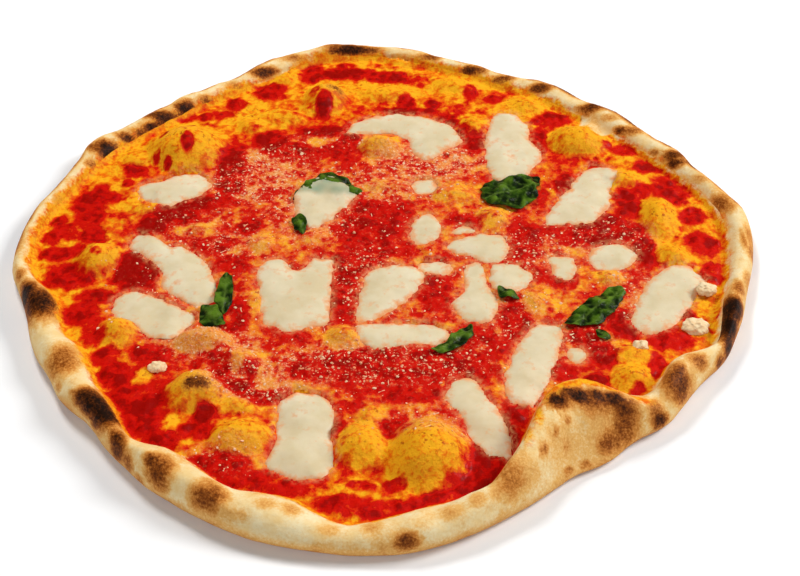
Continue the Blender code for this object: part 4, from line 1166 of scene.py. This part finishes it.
@dataclass
class Leaves(FinerPieces):
    """The basil: crinkled, with ragged edges and veins, and shade and highlights painted by the crinkles'
    height.
    """

    layer: Layer = Layer.BASIL
    node_start: str = "basil_"
    name: str = "basil_leaf"
    crinkle: float = 1.5
    folds: Ripples = (Ripple(1.0, 4.5), Ripple(0.45, 2.025, 20.0))
    tears: Ripples = (Ripple(1.5, 3.6, 60.0),)
    tear_reach: float = 6.0
    veins_apart: float = 4.5
    rib_width: float = 0.7
    vein_width: float = 0.5

    def material(self) -> Finish:
        """A wilted leaf."""
        return WiltedLeaf().material()

    def shape(self, piece: Piece, number: int) -> None:
        """Crinkle and tear one leaf, and paint its veins and its crinkles' height, which the material turns
        into painted shade and painted highlights.
        """
        places = plan_arrays(piece.data)
        fold_and_shade = rippled(places * FLAT, self.folds, number)
        out, reach = outward(places[:, :2], 1.0)
        torn = rippled(places, self.tears, number)[:, None] * np.clip(reach / self.tear_reach, 0.0, 1.0)
        places[:, :2] += out * torn
        places[:, 2] += self.crinkle * (fold_and_shade + 0.4)
        put_plan_arrays(piece.data, places)
        # The crinkles' height, painted on for painted shade in the hollows and painted highlights on the
        # crests
        paint(piece.data, "fold_and_shade", 0.42 + fold_and_shade)
        paint(piece.data, "vein", self.veins(places))

    def veins(self, places: Array) -> Array:
        """A midrib down the leaf's length, and side veins that slant away from it."""
        flat = places[:, :2] - places[:, :2].mean(axis=0)
        lengthwise = np.linalg.svd(flat, full_matrices=False)[2][0]
        along = flat @ lengthwise
        across = np.abs(flat @ np.array([-lengthwise[1], lengthwise[0]]))
        rib = np.clip(1.0 - across / self.rib_width, 0.0, 1.0)
        phase = (along - 0.8 * across) / self.veins_apart
        away = np.abs(phase - np.rint(phase)) * self.veins_apart
        side = np.clip(1.0 - away / self.vein_width, 0.0, 1.0)
        return 0.7 * np.maximum(rib, 0.55 * side)


@dataclass
class Lumps(FinerPieces):
    """The lumps of hard cheese: rough all over."""

    layer: Layer = Layer.HARD_CHEESE
    node_start: str = "cheese_lump_"
    name: str = "hard_cheese_lump"
    levels: int = 3
    crags: Ripples = (Ripple(0.8, 2.2), Ripple(0.4, 1.0))
    sink: float = 0.5
    tint: float = 0.3
    tints: Ripples = (Ripple(0.3, 2.5, 3.0),)

    def material(self) -> Finish:
        """Hard cheese, whiter than the grated bits."""
        pale, warm = shade(250, 226, 182), shade(238, 184, 122)
        return DryCheese("hard_cheese_lump", pale=pale, warm=warm).material()

    def shape(self, piece: Piece, number: int) -> None:
        """Roughen, sink and paint one lump."""
        places = plan_arrays(piece.data)
        crags = rippled(places, self.crags, number)
        out, _ = outward(places, 0.5)
        places += out * crags[:, None]
        places[:, 2] -= self.sink
        put_plan_arrays(piece.data, places)
        paint(piece.data, "tint", self.tint + rippled(places, self.tints))


@dataclass
class GratedCheese:
    """Grated hard cheese scattered over the middle: small crumbs and thin curved shreds."""

    sauce: BVHTree
    covers: BVHTree
    seed: int = 11
    crumbs: int = 2300
    shreds: int = 260
    reach: float = 132.0
    crumb_radius: tuple[float, float] = (0.28, 1.0)
    shred_length: tuple[float, float] = (1.4, 3.6)
    shred_width: float = 0.3
    dents: float = 0.35
    bend: float = 1.6
    twist: float = 0.6
    sunk: float = 0.12
    tries: int = 2000
    drift_mean: float = 0.75
    drifts: Ripples = (Ripple(0.9, 9.0, 8.0),)

    def build(self) -> list[Piece]:
        """Make the crumbs and the shreds."""
        draw = random.Random(self.seed)
        material = DryCheese("grated_cheese").material()
        kinds = (
            ("grated_crumbs", self.crumb_template(), self.crumbs, self.crumb_turn),
            ("grated_shreds", self.shred_template(), self.shreds, self.shred_turn),
        )
        return [self.scatter(*kind, draw, material) for kind in kinds]

    def crumb_template(self) -> Mesh:
        """A small rough lump one unit across its radius."""
        body = bmesh.new()
        bmesh.ops.create_icosphere(body, subdivisions=1, radius=1.0)
        for vert in body.verts:
            vert.co *= 1.0 + self.dents * noise.noise(vert.co * 2.3)
        return mesh_of("crumb_template", body)

    def shred_template(self) -> Mesh:
        """A thin curved strip one unit long."""
        body = bmesh.new()
        bmesh.ops.create_cube(body, size=1.0)
        lengthwise = [edge for edge in body.edges if abs((edge.verts[0].co - edge.verts[1].co).x) > 0.5]
        bmesh.ops.subdivide_edges(body, edges=lengthwise, cuts=4)
        for vert in body.verts:
            vert.co.y += self.bend * (vert.co.x**2 - 0.1)
            vert.co.z += self.twist * math.sin(3.0 * vert.co.x)
            if abs(vert.co.x) > 0.49:
                vert.co.z *= 0.5
        bmesh.ops.triangulate(body, faces=body.faces[:])
        return mesh_of("shred_template", body)

    def crumb_turn(self, draw: random.Random) -> Matrix:
        """A random size and turn for one crumb, in millimetres."""
        low, high = self.crumb_radius
        radius = low + (high - low) * draw.random() ** 2.6
        size = Matrix.Diagonal((radius, radius * draw.uniform(0.6, 1.0), radius * draw.uniform(0.35, 0.6)))
        tilt = Euler((draw.uniform(-0.5, 0.5), draw.uniform(-0.5, 0.5), draw.uniform(0, 2 * math.pi)))
        return tilt.to_matrix() @ size

    def shred_turn(self, draw: random.Random) -> Matrix:
        """A random length and turn for one shred, in millimetres."""
        length = draw.uniform(*self.shred_length)
        size = Matrix.Diagonal((length, self.shred_width * draw.uniform(0.7, 1.6), self.shred_width))
        tilt = Euler((draw.uniform(-0.3, 0.3), draw.uniform(-0.2, 0.2), draw.uniform(0, 2 * math.pi)))
        return tilt.to_matrix() @ size

    def ground(self, x: float, y: float) -> float | None:
        """Height of the sauce at a plan place, or None where something covers it."""
        sauce = height_at(self.sauce, x, y)
        return sauce if sauce is not None and sauce > (height_at(self.covers, x, y) or 0.0) else None

    def places(self, count: int, draw: random.Random) -> list[Vector]:
        """Places drawn where grated cheese lies, thickest first in the listed patches."""
        spots: list[Vector] = []
        while len(spots) < count:
            tries = np.array([
                (draw.uniform(-self.reach, self.reach), draw.uniform(-self.reach, self.reach), draw.random())
                for _ in range(self.tries)
            ])
            drift = np.clip(self.drift_mean + rippled(tries * FLAT, self.drifts), 0.05, 1.0)
            chance = patches(tries, GRATED) * drift
            for x, y, share in tries[tries[:, 2] < chance]:
                height = self.ground(x, y)
                if height is not None and len(spots) < count:
                    spots.append(Vector((x, y, height - self.sunk)))
        return spots

    def scatter(self, name: str, template: Mesh, count: int,
                turn: Callable[[random.Random], Matrix], draw: random.Random,
                material: Finish) -> Piece:
        """Join many turned copies of a template into one piece.

        Args:
            name: The piece's name.
            template: The mesh to repeat.
            count: How many copies.
            turn: Gives each copy's size and turn.
            draw: The source of random numbers.
            material: The finish.

        Returns:
            The joined piece.
        """
        shape = np.array([vert.co for vert in template.vertices])
        faces = np.array([face.vertices for face in template.polygons])
        points, tints = [], []
        for place in self.places(count, draw):
            copy = shape @ np.array(turn(draw)).T
            points.append((copy + np.array(place) - PLAN_MIDDLE) * MM)
            tints.append(np.full(len(shape), draw.random() ** 1.5))
        joined = [face + row * len(shape) for row in range(count) for face in faces]
        mesh = bpy.data.meshes.new(name)
        mesh.from_pydata(np.concatenate(points).tolist(), [], np.array(joined).tolist())
        bpy.data.meshes.remove(template)
        piece = add_object(name, mesh)
        paint(mesh, "tint", np.concatenate(tints))
        dress(piece, Layer.HARD_CHEESE, material)
        return piece


def main() -> None:
    """Build the studio and every layer of the pizza, from the dough up."""
    logging.basicConfig(level=logging.INFO, format="%(message)s")
    studio = Studio()
    studio.build()
    dough = Dough(eye=studio.eye())
    dough.build()
    sauce = SauceMap(dough)
    dough.paint(sauce)
    dress(dough.piece, Layer.DOUGH, BakedTop().material(), "crust")
    cheese = MeltedPieces().build()
    covers = tree_of(*cheese, *Leaves().build())
    topping = Topping(dough, sauce, cheese, covers).build()
    Lumps().build()
    GratedCheese(tree_of(topping), covers).build()


if __name__ == "__main__":
    main()
